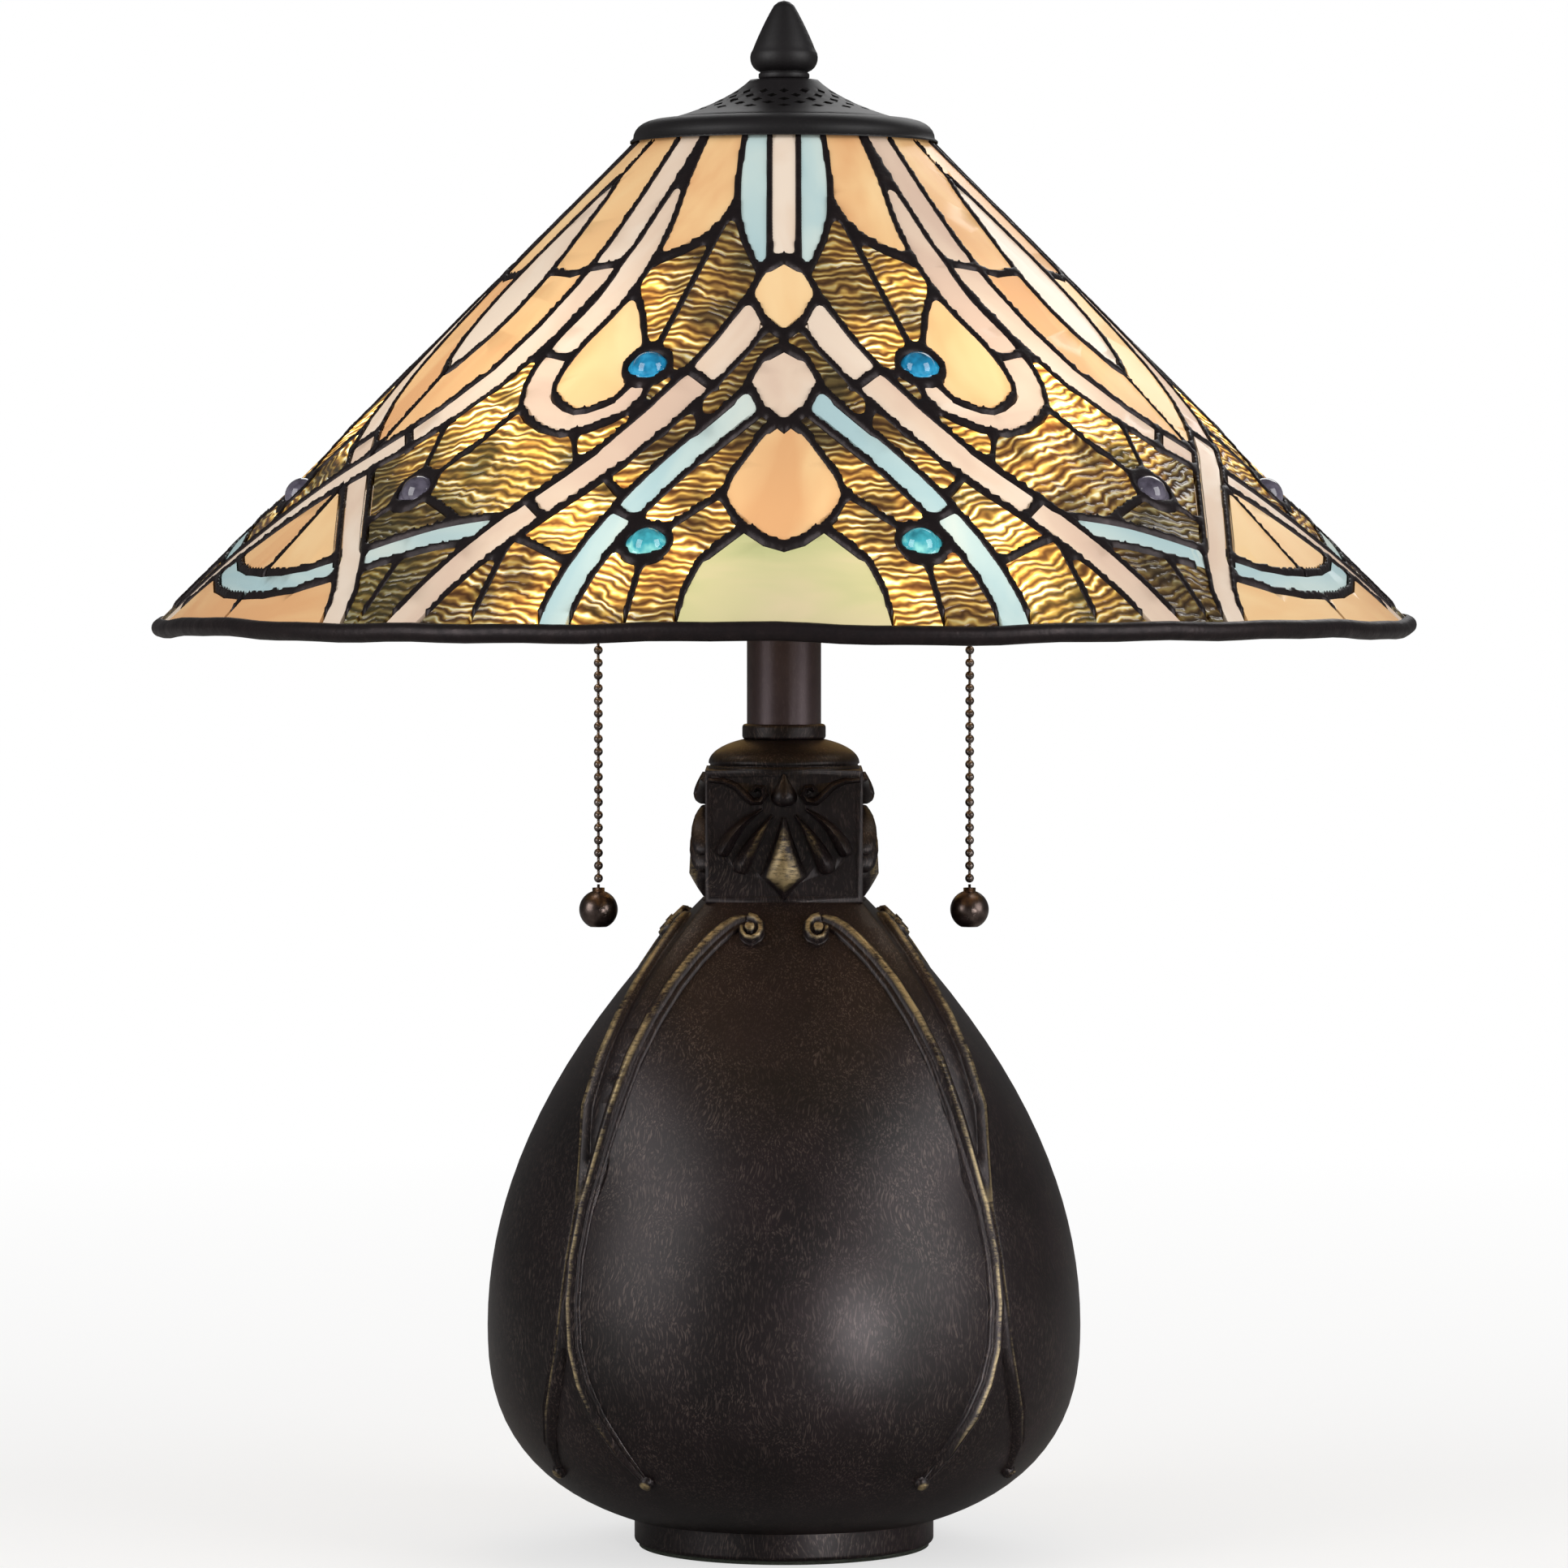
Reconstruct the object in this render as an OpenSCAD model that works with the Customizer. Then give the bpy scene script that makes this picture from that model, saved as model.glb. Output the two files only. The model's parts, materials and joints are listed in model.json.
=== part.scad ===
// Two-light leaded-glass table lamp: a cone shade on a cast urn base.
// The front is -Y, up is +Z, and the origin is the middle of the underside. Millimetres.

/* [Base] */
// Radius of the foot ring
foot_r = 48.5; // [40:0.5:60]
// Height of the foot, from the table to the urn
foot_h = 10.4; // [9:0.2:16]
// Wall of the foot ring
foot_wall = 4; // [3:0.5:6]
// Thickness of the felt under the foot
felt_t = 1.2; // [0.8:0.2:3]
// Widest diameter of the urn
body_d = 192; // [160:1:230]
// Height of the widest level above the table
belly_z = 72; // [60:1:90]
// Height of the urn's top above the table
body_top_z = 209.6; // [180:1:250]
// Radius of the urn's underside, where it meets the foot
body_bottom_r = 52; // [50:0.5:62]
// Wall of the urn
body_wall = 4.5; // [3.5:0.5:9]
// Radius of the iron ballast disc inside the urn
ballast_r = 54; // [35:1:60]
// Thickness of the ballast disc
ballast_t = 16; // [8:1:26]

/* [Neck] */
// Width of the square block
block_w = 50.5; // [44:0.5:60]
// Height of the square block
block_h = 42.2; // [38:0.2:55]
// Height of the fan relief above the block's faces
relief_rise = 5.4; // [2:0.1:7]
// Height of the dome on the block
dome_h = 9.3; // [7:0.1:14]
// Radius of the dome
dome_r = 24.4; // [20:0.2:25]
// Height of the collar ring
collar_h = 5; // [3:0.2:9]
// Diameter of the column tube
column_d = 24; // [18:0.5:30]
// Wall of the column tube
column_wall = 1; // [0.8:0.1:2]
// Outside diameter of the threaded lamp pipe
pipe_d = 10.2; // [9:0.1:13]

/* [Lights] */
// Height of the point where the two socket axes cross
cluster_z = 303; // [298:0.5:330]
// Upward slant of the sockets
socket_tilt = 25; // [15:1:32]
// Diameter of the socket shells
socket_d = 35; // [32:0.5:38]
// Length of a socket shell
socket_len = 30; // [26:0.5:36]
// Diameter of a bulb
bulb_d = 48; // [40:1:56]
// Distance of each pull chain from the lamp's axis
pull_x = 60; // [56:0.5:64]
// Height of the middle of the ball pulls
ball_z = 206; // [190:1:240]
// Diameter of the ball pulls
ball_d = 12.5; // [8:0.5:16]
// Diameter of the beads of the chain
bead_d = 2.9; // [2.4:0.1:4]
// Pitch of the beads
bead_pitch = 4.08; // [3.6:0.02:6]

/* [Shade] */
// Radius of the glass cone's lower edge
glass_rim_r = 200.6; // [180:0.2:230]
// Height of the glass cone's lower edge
glass_rim_z = 297.9; // [290:0.2:330]
// Radius of the glass cone's upper edge
glass_top_r = 44.6; // [40:0.2:60]
// Slope of the cone below the horizontal
slope = 45; // [42:0.5:48]
// Thickness of the glass
glass_t = 3; // [2.4:0.1:4]
// Width of a lead line
lead_w = 3.2; // [2.6:0.1:4]
// Height of the lead above each face of the glass
lead_rise = 1.2; // [0.6:0.1:2]
// Radius of the round band along the lower edge
rim_band_r = 2.9; // [2.4:0.1:4]
// Radius of the round band along the upper edge
top_band_r = 2.5; // [2.2:0.1:3.5]
// Radius of the round jewels
jewel_r = 5.6; // [4:0.1:7]
// Height of a jewel's dome above the glass
jewel_dome = 3.2; // [1.6:0.1:4]

/* [Cap and finial] */
// Radius of the heat cap's rim
cap_r = 49.6; // [46:0.2:60]
// Height of the heat cap
cap_h = 20.4; // [16:0.5:30]
// Thickness of the heat cap's sheet
cap_t = 1.2; // [0.8:0.1:2]
// Number of pierced diamonds in a row
cap_holes = 16; // [8:1:20]
// Number of rows of diamonds
cap_rows = 5; // [2:1:6]
// Widest radius of the finial
finial_r = 10.8; // [8:0.2:14]
// Height of the finial above its neck ring
finial_h = 23; // [16:0.5:34]

/* [Hidden] */

gap = 0.3;            // space between curved faces of neighbouring pieces
slip = 0.2;           // space round each pane in its lead
fit = 0.05;           // radial running clearance of shafts and seats
belly_r = body_d / 2;
neck_r = block_w / 2 + 1.35;
block_top_z = body_top_z + block_h;
dome_top_z = block_top_z + dome_h;
floor_z = foot_h + body_wall + 1;      // top of the urn's floor
plate_t = 2;                           // top plate of the foot
washer_t = 1.6;
nut_t = 4.2;
riser_d = 8;

// Curves ----------------------------------------------------------------

function spline_at(a, b, c, d, t) =
  0.5 * (2 * b + (c - a) * t + (2 * a - 5 * b + 4 * c - d) * t ^ 2 + (3 * b - a - 3 * c + d) * t ^ 3);

// Smooth open curve through the points p, with n steps between two of them
function spline(p, n) = let (m = len(p) - 1) concat(
  [for (i = [0 : m - 1], j = [0 : n - 1])
    spline_at(p[max(i - 1, 0)], p[i], p[i + 1], p[min(i + 2, m)], j / n)],
  [p[m]]);

// Smooth closed curve through the points p
function loop(p, n) = let (m = len(p))
  [for (i = [0 : m - 1], j = [0 : n - 1])
    spline_at(p[(i + m - 1) % m], p[i], p[(i + 1) % m], p[(i + 2) % m], j / n)];

function bezier(a, b, c, d, n) = [for (i = [0 : n]) let (t = i / n, u = 1 - t)
  a * u ^ 3 + 3 * b * t * u ^ 2 + 3 * c * t ^ 2 * u + d * t ^ 3];

function unit(v) = v / norm(v);

// Left-hand normal of the curve p at its point i
function normal_at(p, i) = let (t = unit(p[min(i + 1, len(p) - 1)] - p[max(i - 1, 0)])) [-t.y, t.x];

function shifted(p, d) = [for (i = [0 : len(p) - 1]) p[i] + d * normal_at(p, i)];

function reversed(p) = [for (i = [len(p) - 1 : -1 : 0]) p[i]];

// Raised bead on a surface: stations are [point, outward normal, half width, rise]
module sweep(stations, section, sink) {
  n = len(stations);
  m = len(section);
  rings = [for (i = [0 : n - 1]) let (
      s = stations[i],
      t = unit(stations[min(i + 1, n - 1)][0] - stations[max(i - 1, 0)][0]),
      side = unit(cross(t, s[1])))
    for (q = section) s[0] + side * q.x * s[2] + s[1] * (q.y < 0 ? -sink : q.y * s[3])];
  sides = [for (i = [0 : n - 2], j = [0 : m - 1]) let (k = (j + 1) % m)
    [i * m + j, (i + 1) * m + j, (i + 1) * m + k, i * m + k]];
  caps = [[for (j = [0 : m - 1]) j], [for (j = [m - 1 : -1 : 0]) (n - 1) * m + j]];
  polyhedron(rings, concat(sides, caps), convexity = 6);
}

// Base ------------------------------------------------------------------

grommet_z = (felt_t + foot_h - plate_t) / 2;
grommet_r = 2.9;

module felt_pad() {
  color("#2f3a30") cylinder(r = foot_r - 1.5, h = felt_t, $fn = 120);
}

module base_foot() {
  edge = 1.4;
  color("#3b302d") difference() {
    rotate_extrude($fn = 180) polygon(concat(
      [[pipe_d / 2 + gap, foot_h], [pipe_d / 2 + gap, foot_h - plate_t],
       [foot_r - foot_wall, foot_h - plate_t], [foot_r - foot_wall, felt_t]],
      [for (a = [-90 : 15 : 0]) [foot_r - edge + edge * cos(a), felt_t + edge + edge * sin(a)]],
      [for (a = [0 : 30 : 90]) [foot_r - 0.6 + 0.6 * cos(a), foot_h - 0.6 + 0.6 * sin(a)]]));
    translate([0, foot_r - foot_wall - 1, grommet_z]) rotate([-90, 0, 0])
      cylinder(r = grommet_r + fit, h = foot_wall + 2, $fn = 48);
  }
}

module cord_grommet() {
  flange = 0.9;
  slot_w = 3.6;
  slot_h = 2.4;
  color("#1c1a1a") translate([0, foot_r, grommet_z]) rotate([-90, 0, 0]) difference() {
    union() {
      translate([0, 0, -foot_wall - flange]) cylinder(r = grommet_r + 0.45, h = flange - 0.1, $fn = 48);
      translate([0, 0, -foot_wall - flange]) cylinder(r = grommet_r, h = foot_wall + 2 * flange, $fn = 48);
      translate([0, 0, 0.1]) cylinder(r = grommet_r + 0.45, h = flange, $fn = 48);
    }
    for (s = [-1, 0, 1]) translate([s * (slot_w - slot_h) / 2, 0, -foot_wall - 2 * flange])
      cylinder(r = slot_h / 2, h = foot_wall + 4 * flange, $fn = 32);
  }
}

module ballast_weight() {
  color("#55504c") translate([0, 0, floor_z]) difference() {
    cylinder(r = ballast_r, h = ballast_t, $fn = 120);
    translate([0, 0, -1]) cylinder(r = pipe_d / 2 + gap, h = ballast_t + 2, $fn = 48);
  }
}

module bottom_washer() {
  color("#8d8a86") translate([0, 0, foot_h - plate_t - washer_t]) difference() {
    cylinder(r = 14, h = washer_t, $fn = 72);
    translate([0, 0, -1]) cylinder(r = pipe_d / 2 + fit, h = washer_t + 2, $fn = 48);
  }
}

// Hexagon nut with its underside at height z
module hex_nut(across, bore_r, h, z) {
  translate([0, 0, z]) difference() {
    cylinder(r = across / sqrt(3), h = h, $fn = 6);
    translate([0, 0, -1]) cylinder(r = bore_r, h = h + 2, $fn = 48);
  }
}

module bottom_nut() {
  color("#9a958d") hex_nut(16, pipe_d / 2 + fit, nut_t, foot_h - plate_t - washer_t - nut_t);
}

// Urn -------------------------------------------------------------------

urn_power = 2.5;      // squareness of the lower half's outline
panel_z = 125;        // the four panels fade into the round here
panel_offset = 130;   // how far the panels' own axes lie behind the lamp's axis at the top

lower_depth = (belly_z - foot_h) / (1 - (body_bottom_r / belly_r) ^ urn_power) ^ (1 / urn_power);
upper_depth = (body_top_z - belly_z) / sqrt(1 - neck_r / belly_r);

// Half width of the urn at height z
function urn_r(z) = z < belly_z
  ? belly_r * (1 - ((belly_z - z) / lower_depth) ^ urn_power) ^ (1 / urn_power)
  : belly_r * (1 - ((z - belly_z) / upper_depth) ^ 2);

function panel_shift(z) = panel_offset * max(0, z - panel_z) / (body_top_z - panel_z);

// Distance from the axis to the urn's skin at height z, at the angle a from a panel's middle
function skin_r(a, z) = let (e = panel_shift(z), q = urn_r(z) + e)
  sqrt(q ^ 2 - (e * sin(a)) ^ 2) - e * cos(a);

// Point of the front panel's skin at the given x and z
function skin(x, z) = let (e = panel_shift(z), q = urn_r(z) + e) [x, e - sqrt(q ^ 2 - x ^ 2), z];

// Outward normal of the skin there
function skin_normal(x, z) = let (d = 0.5)
  unit(cross(skin(x + d, z) - skin(x - d, z), skin(x, z + d) - skin(x, z - d)));

module urn_shoulder() {
  n = 48;
  steps = 11;
  ledge = 0.06;
  rings = [for (i = [0 : steps], j = [0 : n - 1]) let (
      z = panel_z + (body_top_z - panel_z) * i / steps,
      a = 360 * j / n,
      off = a - 90 * round(a / 90),
      r = skin_r(off, z) - (i == 0 ? ledge : 0))
    [r * cos(a), r * sin(a), z]];
  sides = [for (i = [0 : steps - 1], j = [0 : n - 1]) let (k = (j + 1) % n)
    [i * n + j, (i + 1) * n + j, (i + 1) * n + k, i * n + k]];
  caps = [[for (j = [0 : n - 1]) j], [for (j = [n - 1 : -1 : 0]) steps * n + j]];
  polyhedron(rings, concat(sides, caps), convexity = 2);
}

// Ribs: each runs from a scroll high on a panel out towards the corner and back under the belly
scroll_eye = [10.8, 200.6];
scroll_r = 3.9;
rib_route = [[10.8, 204.5], [15.6, 203], [22.6, 197.8], [34.4, 184.6], [47.6, 161.5], [58.1, 130.2],
  [65, 100], [65.6, 72], [58.5, 51], [44.6, 31.4]];
rib_half_w = 3.3;
rib_rise = 2.8;
// A broad ridge outside, a groove and a thin ridge inside
rib_section = [[-1, -1], [-0.96, 0.25], [-0.5, 0.86], [-0.05, 1], [0.36, 0.42], [0.55, 0.3], [0.78, 0.56],
  [1, 0.15], [1, -1]];
scroll_section = [[-1, -1], [-0.9, 0.5], [-0.3, 1], [0.4, 1], [1, 0.5], [1, -1]];

module rib() {
  route = spline(rib_route, 2);
  n = len(route) - 1;
  stations = [for (i = [0 : n]) let (q = route[i], w = min(1, 0.6 + i / 6, 0.5 + (n - i) / 3))
    [skin(q.x, q.y), skin_normal(q.x, q.y), rib_half_w * w, rib_rise * w]];
  sweep(stations, rib_section, 1.2);
}

// Curl at the rib's top, three quarters of a turn round the eye
module scroll() {
  n = 8;
  stations = [for (i = [0 : n]) let (
      f = i / n,
      a = 84 + 280 * f,
      r = scroll_r * (1 - 0.34 * f),
      q = scroll_eye + r * [cos(a), sin(a)])
    [skin(q.x, q.y), skin_normal(q.x, q.y), 1.75 - 0.75 * f, rib_rise * (1 + 0.2 * f)]];
  sweep(stations, scroll_section, 1.2);
}

function aim(v) = [0, acos(v.z), atan2(v.y, v.x)];

module rib_ends() {
  foot = [42.9, 29.8];
  translate(skin(scroll_eye.x, scroll_eye.y)) rotate(aim(skin_normal(scroll_eye.x, scroll_eye.y))) {
    translate([0, 0, -1]) cylinder(r = scroll_r - 0.6, h = 2.1, $fn = 32);
    translate([0, 0, -1]) cylinder(r = 1.5, h = rib_rise + 1.7, $fn = 24);
  }
  translate(skin(foot.x, foot.y)) rotate(aim(skin_normal(foot.x, foot.y)))
    rotate_extrude($fn = 24) polygon([[0, -2], [2.5, -2], [2.5, 1], [1.9, 2], [0.9, 2.5], [0, 2.5]]);
}

module vase_body() {
  lower = [for (i = [0 : 18]) let (z = belly_z - (belly_z - foot_h) * cos(90 * i / 18)) [urn_r(z), z]];
  upper = [for (i = [1 : 8]) let (z = belly_z + (panel_z - belly_z) * i / 8) [urn_r(z), z]];
  roof_z = body_top_z - 16;
  cavity = [for (i = [0 : 20]) let (z = floor_z + (roof_z - 4 - floor_z) * i / 20)
    [min(urn_r(z), urn_r(max(z, floor_z + 1.5))) - body_wall, z]];
  color("#3b302d") difference() {
    union() {
      rotate_extrude($fn = 180) polygon(concat([[0, foot_h]], lower, upper, [[0, panel_z]]));
      urn_shoulder();
      for (q = [0 : 90 : 270], m = [0, 1]) rotate(q) mirror([m, 0, 0]) {
        rib();
        scroll();
        rib_ends();
      }
    }
    rotate_extrude($fn = 180) polygon(concat([[0, floor_z]], cavity, [[0, roof_z]]));
    translate([0, 0, -1]) cylinder(r = pipe_d / 2 + gap, h = body_top_z + 2, $fn = 48);
  }
}

// Neck ------------------------------------------------------------------

petal_section = [[-1, -1], [-1, 0.1], [-0.6, 0.72], [0, 1], [0.6, 0.72], [1, 0.1], [1, -1]];

// Relief piece on the block's front face: points are [x, height, half width, share of the rise]
module leaf(points, n = 2) {
  route = spline(points, n);
  stations = [for (q = route)
    [[q.x, -block_w / 2, body_top_z + q.y], [0, -1, 0], q[2], relief_rise * q[3]]];
  sweep(stations, petal_section, 0.8);
}

module face_relief() {
  leaf([[0, 27.2, 0.7, 0.35], [0, 20.4, 2.8, 0.8], [0, 13.4, 5.4, 0.95], [0, 8.2, 7.5, 1],
    [0, 5.7, 4.5, 0.75], [0, 3, 2, 0.45], [0, 0.7, 0.5, 0.15]], 1);
  leaf([[0, 41, 0.5, 0.2], [0, 37.5, 2.5, 0.55], [0, 34, 4.2, 0.75], [0, 31.6, 3.4, 0.6],
    [0, 30.6, 1.2, 0.3]]);
  for (m = [0, 1]) mirror([m, 0, 0]) {
    leaf([[3.6, 27.9, 0.5, 0.3], [7.7, 22.3, 1.6, 0.8], [11.4, 16, 2.6, 0.95], [13.8, 10.8, 2.9, 0.7],
      [14.4, 9.2, 1.4, 0.3]]);
    leaf([[7, 29.7, 0.5, 0.3], [12.3, 26.2, 1.3, 0.7], [16.8, 21.2, 2.2, 0.85], [19.7, 16.3, 2.5, 0.65],
      [20.3, 14.8, 1.2, 0.3]]);
    // branch from the corner, curled round at its end
    leaf([[24.2, 39.2, 0.8, 0.25], [19.5, 38.8, 1.1, 0.35], [15.6, 37.3, 1.3, 0.4], [12.6, 34.4, 1.4, 0.5],
      [10, 32.2, 1.4, 0.6], [7.5, 32.4, 1.3, 0.65], [6.1, 34.4, 1.2, 0.65], [7, 36.6, 1.1, 0.6],
      [9, 36.9, 0.9, 0.55], [9.8, 35.5, 0.6, 0.5]], 1);
  }
}

module neck_block() {
  border = 1.9;
  field = 0.45;
  color("#3b302d") difference() {
    union() {
      difference() {
        translate([-block_w / 2, -block_w / 2, body_top_z]) cube([block_w, block_w, block_h]);
        for (q = [0 : 90 : 270]) rotate(q)
          translate([border - block_w / 2, -block_w / 2 - 1, body_top_z + border])
            cube([block_w - 2 * border, 1 + field, block_h - 2 * border]);
      }
      for (q = [0 : 90 : 270]) rotate(q) face_relief();
    }
    translate([0, 0, body_top_z - 1]) cylinder(r = pipe_d / 2 + gap, h = block_h + 2, $fn = 48);
  }
}

module neck_dome() {
  base = 1.7;
  top_r = column_d / 2 + 1.4;
  arc = [for (a = [0 : 6 : 60]) [dome_r * cos(a) , base + (dome_h - base) * sin(a) / sin(60)]];
  k = (dome_r - top_r) / (dome_r - dome_r * cos(60));
  color("#3b302d") translate([0, 0, block_top_z]) rotate_extrude($fn = 180) polygon(concat(
    [[pipe_d / 2 + gap, 0], [dome_r, 0], [dome_r, 0.7], [dome_r - 0.5, 0.9], [dome_r - 0.5, 1.3]],
    [for (q = arc) [dome_r - (dome_r - q.x) * k, q.y]],
    [[pipe_d / 2 + gap, dome_h]]));
}

module column_collar() {
  r = column_d / 2 + 1.5;
  e = 1.1;
  color("#3b302d") translate([0, 0, dome_top_z]) rotate_extrude($fn = 120) polygon(concat(
    [[column_d / 2 + fit, 0]],
    [for (a = [-90 : 30 : 0]) [r - e + e * cos(a), e + e * sin(a)]],
    [for (a = [0 : 30 : 90]) [r - e + e * cos(a), collar_h - e + e * sin(a)]],
    [[column_d / 2 + fit, collar_h]]));
}

column_top_z = cluster_z - 9;

module column_tube() {
  color("#4a3e40") translate([0, 0, dome_top_z]) difference() {
    cylinder(r = column_d / 2, h = column_top_z - dome_top_z, $fn = 120);
    translate([0, 0, -1])
      cylinder(r = column_d / 2 - column_wall, h = column_top_z - dome_top_z + 2, $fn = 120);
  }
}

pipe_top_z = cluster_z - 1.5;

module lamp_pipe() {
  z = foot_h - plate_t - washer_t - nut_t - 0.4;
  color("#b09a5c") translate([0, 0, z]) difference() {
    cylinder(r = pipe_d / 2, h = pipe_top_z - z, $fn = 72);
    translate([0, 0, -1]) cylinder(r = pipe_d / 2 - 1.5, h = pipe_top_z - z + 2, $fn = 72);
  }
}

// Lights ----------------------------------------------------------------

nipple_r = 4.6;
cluster_r = 15.5;
cap_start = 24;                       // where a socket's cap begins, along its axis
shell_start = cap_start + 15;
shell_end = shell_start + socket_len;
socket_r = socket_d / 2;
shell_t = 0.6;
screw_r = 14;                         // outside of the threaded brass shell
stem_r = 1;
lever_clear = 0.6;

// Places children in a socket's own frame: its axis along +Z from the crossing point
module on_socket(side) {
  translate([0, 0, cluster_z]) mirror([side < 0 ? 1 : 0, 0, 0]) rotate([0, 90 - socket_tilt, 0]) children();
}

module cluster_body() {
  color("#6b5a3a") difference() {
    translate([0, 0, cluster_z]) rotate_extrude($fn = 120) polygon(
      [[riser_d / 2 + fit, -9], [column_d / 2 + 1.5, -9], [cluster_r, -7], [cluster_r, 7.5], [11, 12],
       [riser_d / 2 + fit, 12]]);
    translate([0, 0, cluster_z - 10])
      cylinder(r = pipe_d / 2 + fit, h = pipe_top_z - cluster_z + 10, $fn = 72);
    for (side = [-1, 1]) on_socket(side) translate([0, 0, 8])
      cylinder(r = nipple_r + fit, h = 20, $fn = 48);
  }
}

module cluster_nipples() {
  color("#b09a5c") for (side = [-1, 1]) on_socket(side) translate([0, 0, 8 + fit]) difference() {
    cylinder(r = nipple_r, h = cap_start - 6.6, $fn = 48);
    translate([0, 0, -1]) cylinder(r = nipple_r - 1.2, h = cap_start, $fn = 48);
  }
}

module cluster_nut() {
  color("#9a958d") hex_nut(14, riser_d / 2 + fit, 4, cluster_z + 12);
}

module socket_cap(side) {
  t = 0.8;
  outer = bezier([nipple_r + 2, 0], [socket_r - 5, 0.5], [socket_r - 0.6, 7], [socket_r - 0.4, 14.9], 8);
  color("#7a6638") on_socket(side) translate([0, 0, cap_start]) rotate_extrude($fn = 120) polygon(concat(
    [[nipple_r + fit, t], [nipple_r + fit, 0]], outer, reversed(shifted(outer, t))));
}

module socket_shell(side) {
  color("#7a6638") difference() {
    on_socket(side) translate([0, 0, shell_start]) rotate_extrude($fn = 120) polygon(
      [[socket_r - shell_t, 0], [socket_r, 0], [socket_r, 3], [socket_r + 0.7, 3.8], [socket_r, 4.6],
       [socket_r, socket_len - 1.6], [socket_r + 0.8, socket_len - 0.8], [socket_r + 0.6, socket_len],
       [socket_r - shell_t, socket_len]]);
    translate([side * pull_x, 0, guide_z]) cylinder(r = stem_r + lever_clear, h = 22, $fn = 32);
  }
}

module switch_body(side) {
  color("#2b2420") on_socket(side) translate([0, 0, cap_start]) {
    translate([0, 0, 2]) cylinder(r = nipple_r + 1, h = 5, $fn = 48);
    translate([0, 0, 7]) cylinder(r = screw_r - 3, h = 4, $fn = 96);
    translate([0, 0, 11]) cylinder(r = screw_r, h = 6, $fn = 96);
  }
}

module screw_shell(side) {
  h = shell_end - cap_start - 19;
  color("#c9a85a") on_socket(side) translate([0, 0, cap_start + 17]) difference() {
    cylinder(r = screw_r, h = h, $fn = 96);
    translate([0, 0, -1]) cylinder(r = screw_r - 0.5, h = h + 2, $fn = 96);
  }
}

// Height at which the underside of a socket shell crosses the line of its pull chain
under_shell_z = cluster_z + (pull_x - socket_r * sin(socket_tilt)) * tan(socket_tilt)
  - socket_r * cos(socket_tilt);
guide_z = under_shell_z - 13;
throat_r = stem_r + lever_clear;

module chain_guide(side) {
  mouth = 4.6;
  wall = 0.9;
  inner = bezier([mouth, 0], [throat_r + 0.4, 1.6], [throat_r, 3], [throat_r, 6], 5);
  outer = bezier([mouth + 0.5, 0.2], [throat_r + 1.7, 2], [throat_r + wall, 4], [throat_r + wall, 7], 5);
  color("#7a6638") difference() {
    translate([side * pull_x, 0, guide_z]) rotate_extrude($fn = 48) polygon(concat(
      reversed(inner), outer, [[throat_r + wall, 18], [throat_r, 18]]));
    on_socket(side) translate([0, 0, cap_start]) cylinder(r = socket_r + fit, h = 60, $fn = 120);
  }
}

bulb_seat = shell_end - 18;            // inner end of the bulb's cap, along the socket's axis
bulb_r = bulb_d / 2;
bulb_mid = shell_end + 3 + bulb_r * 1.12;

module bulb_base(side) {
  color("#b9b5aa") on_socket(side) translate([0, 0, bulb_seat]) rotate_extrude($fn = 96) polygon(
    [[0, -3], [4, -3], [5, 0], [12.9, 3.5], [12.9, 18], [0, 18]]);
}

module bulb_glass(side) {
  neck = 12.6;
  a0 = asin(neck / bulb_r);
  t = 0.9;
  outer = concat([[neck, shell_end + 0.4]],
    bezier([neck, shell_end + 2], [neck, shell_end + 6], [bulb_r * cos(40), bulb_mid - bulb_r * 0.9],
      [bulb_r * cos(20), bulb_mid - bulb_r * sin(20)], 6),
    [for (a = [-10 : 10 : 90]) [bulb_r * cos(a), bulb_mid + bulb_r * sin(a)]]);
  inner = concat([[neck - t, shell_end + 0.4]],
    bezier([neck - t, shell_end + 2], [neck - t, shell_end + 6],
      [(bulb_r - t) * cos(40), bulb_mid - bulb_r * 0.9],
      [(bulb_r - t) * cos(20), bulb_mid - (bulb_r - t) * sin(20)], 6),
    [for (a = [-10 : 10 : 90]) [(bulb_r - t) * cos(a), bulb_mid + (bulb_r - t) * sin(a)]]);
  color("#fff2d0") on_socket(side) rotate_extrude($fn = 120) polygon(concat(outer, reversed(inner)));
}

// Pull chains -------------------------------------------------------------

bead_r = bead_d / 2;
wire_r = 0.45;
lever_bead_z = guide_z - 0.6;
chain_top_z = lever_bead_z - bead_pitch;     // middle of the first hanging bead
swing_z = lever_bead_z - bead_r - 0.1;
ball_r = ball_d / 2;
ball_swing_z = ball_z + ball_r + 2.2;

module pull_lever(side) {
  color("#6e6250") translate([side * pull_x, 0, 0]) {
    translate([0, 0, lever_bead_z]) sphere(r = bead_r, $fn = 24);
    translate([0, 0, lever_bead_z]) cylinder(r = stem_r, h = under_shell_z + 1.9 - lever_bead_z, $fn = 24);
  }
}

module pull_chain(side) {
  last_z = ball_swing_z + bead_r + 0.2;
  count = floor((chain_top_z - last_z) / bead_pitch);
  pitch = (chain_top_z - last_z) / count;
  color("#6e6250") translate([side * pull_x, 0, 0]) {
    for (i = [0 : count]) translate([0, 0, last_z + i * pitch]) sphere(r = bead_r, $fn = 24);
    translate([0, 0, last_z]) cylinder(r = wire_r, h = swing_z - 0.3 - last_z, $fn = 16);
  }
}

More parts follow.
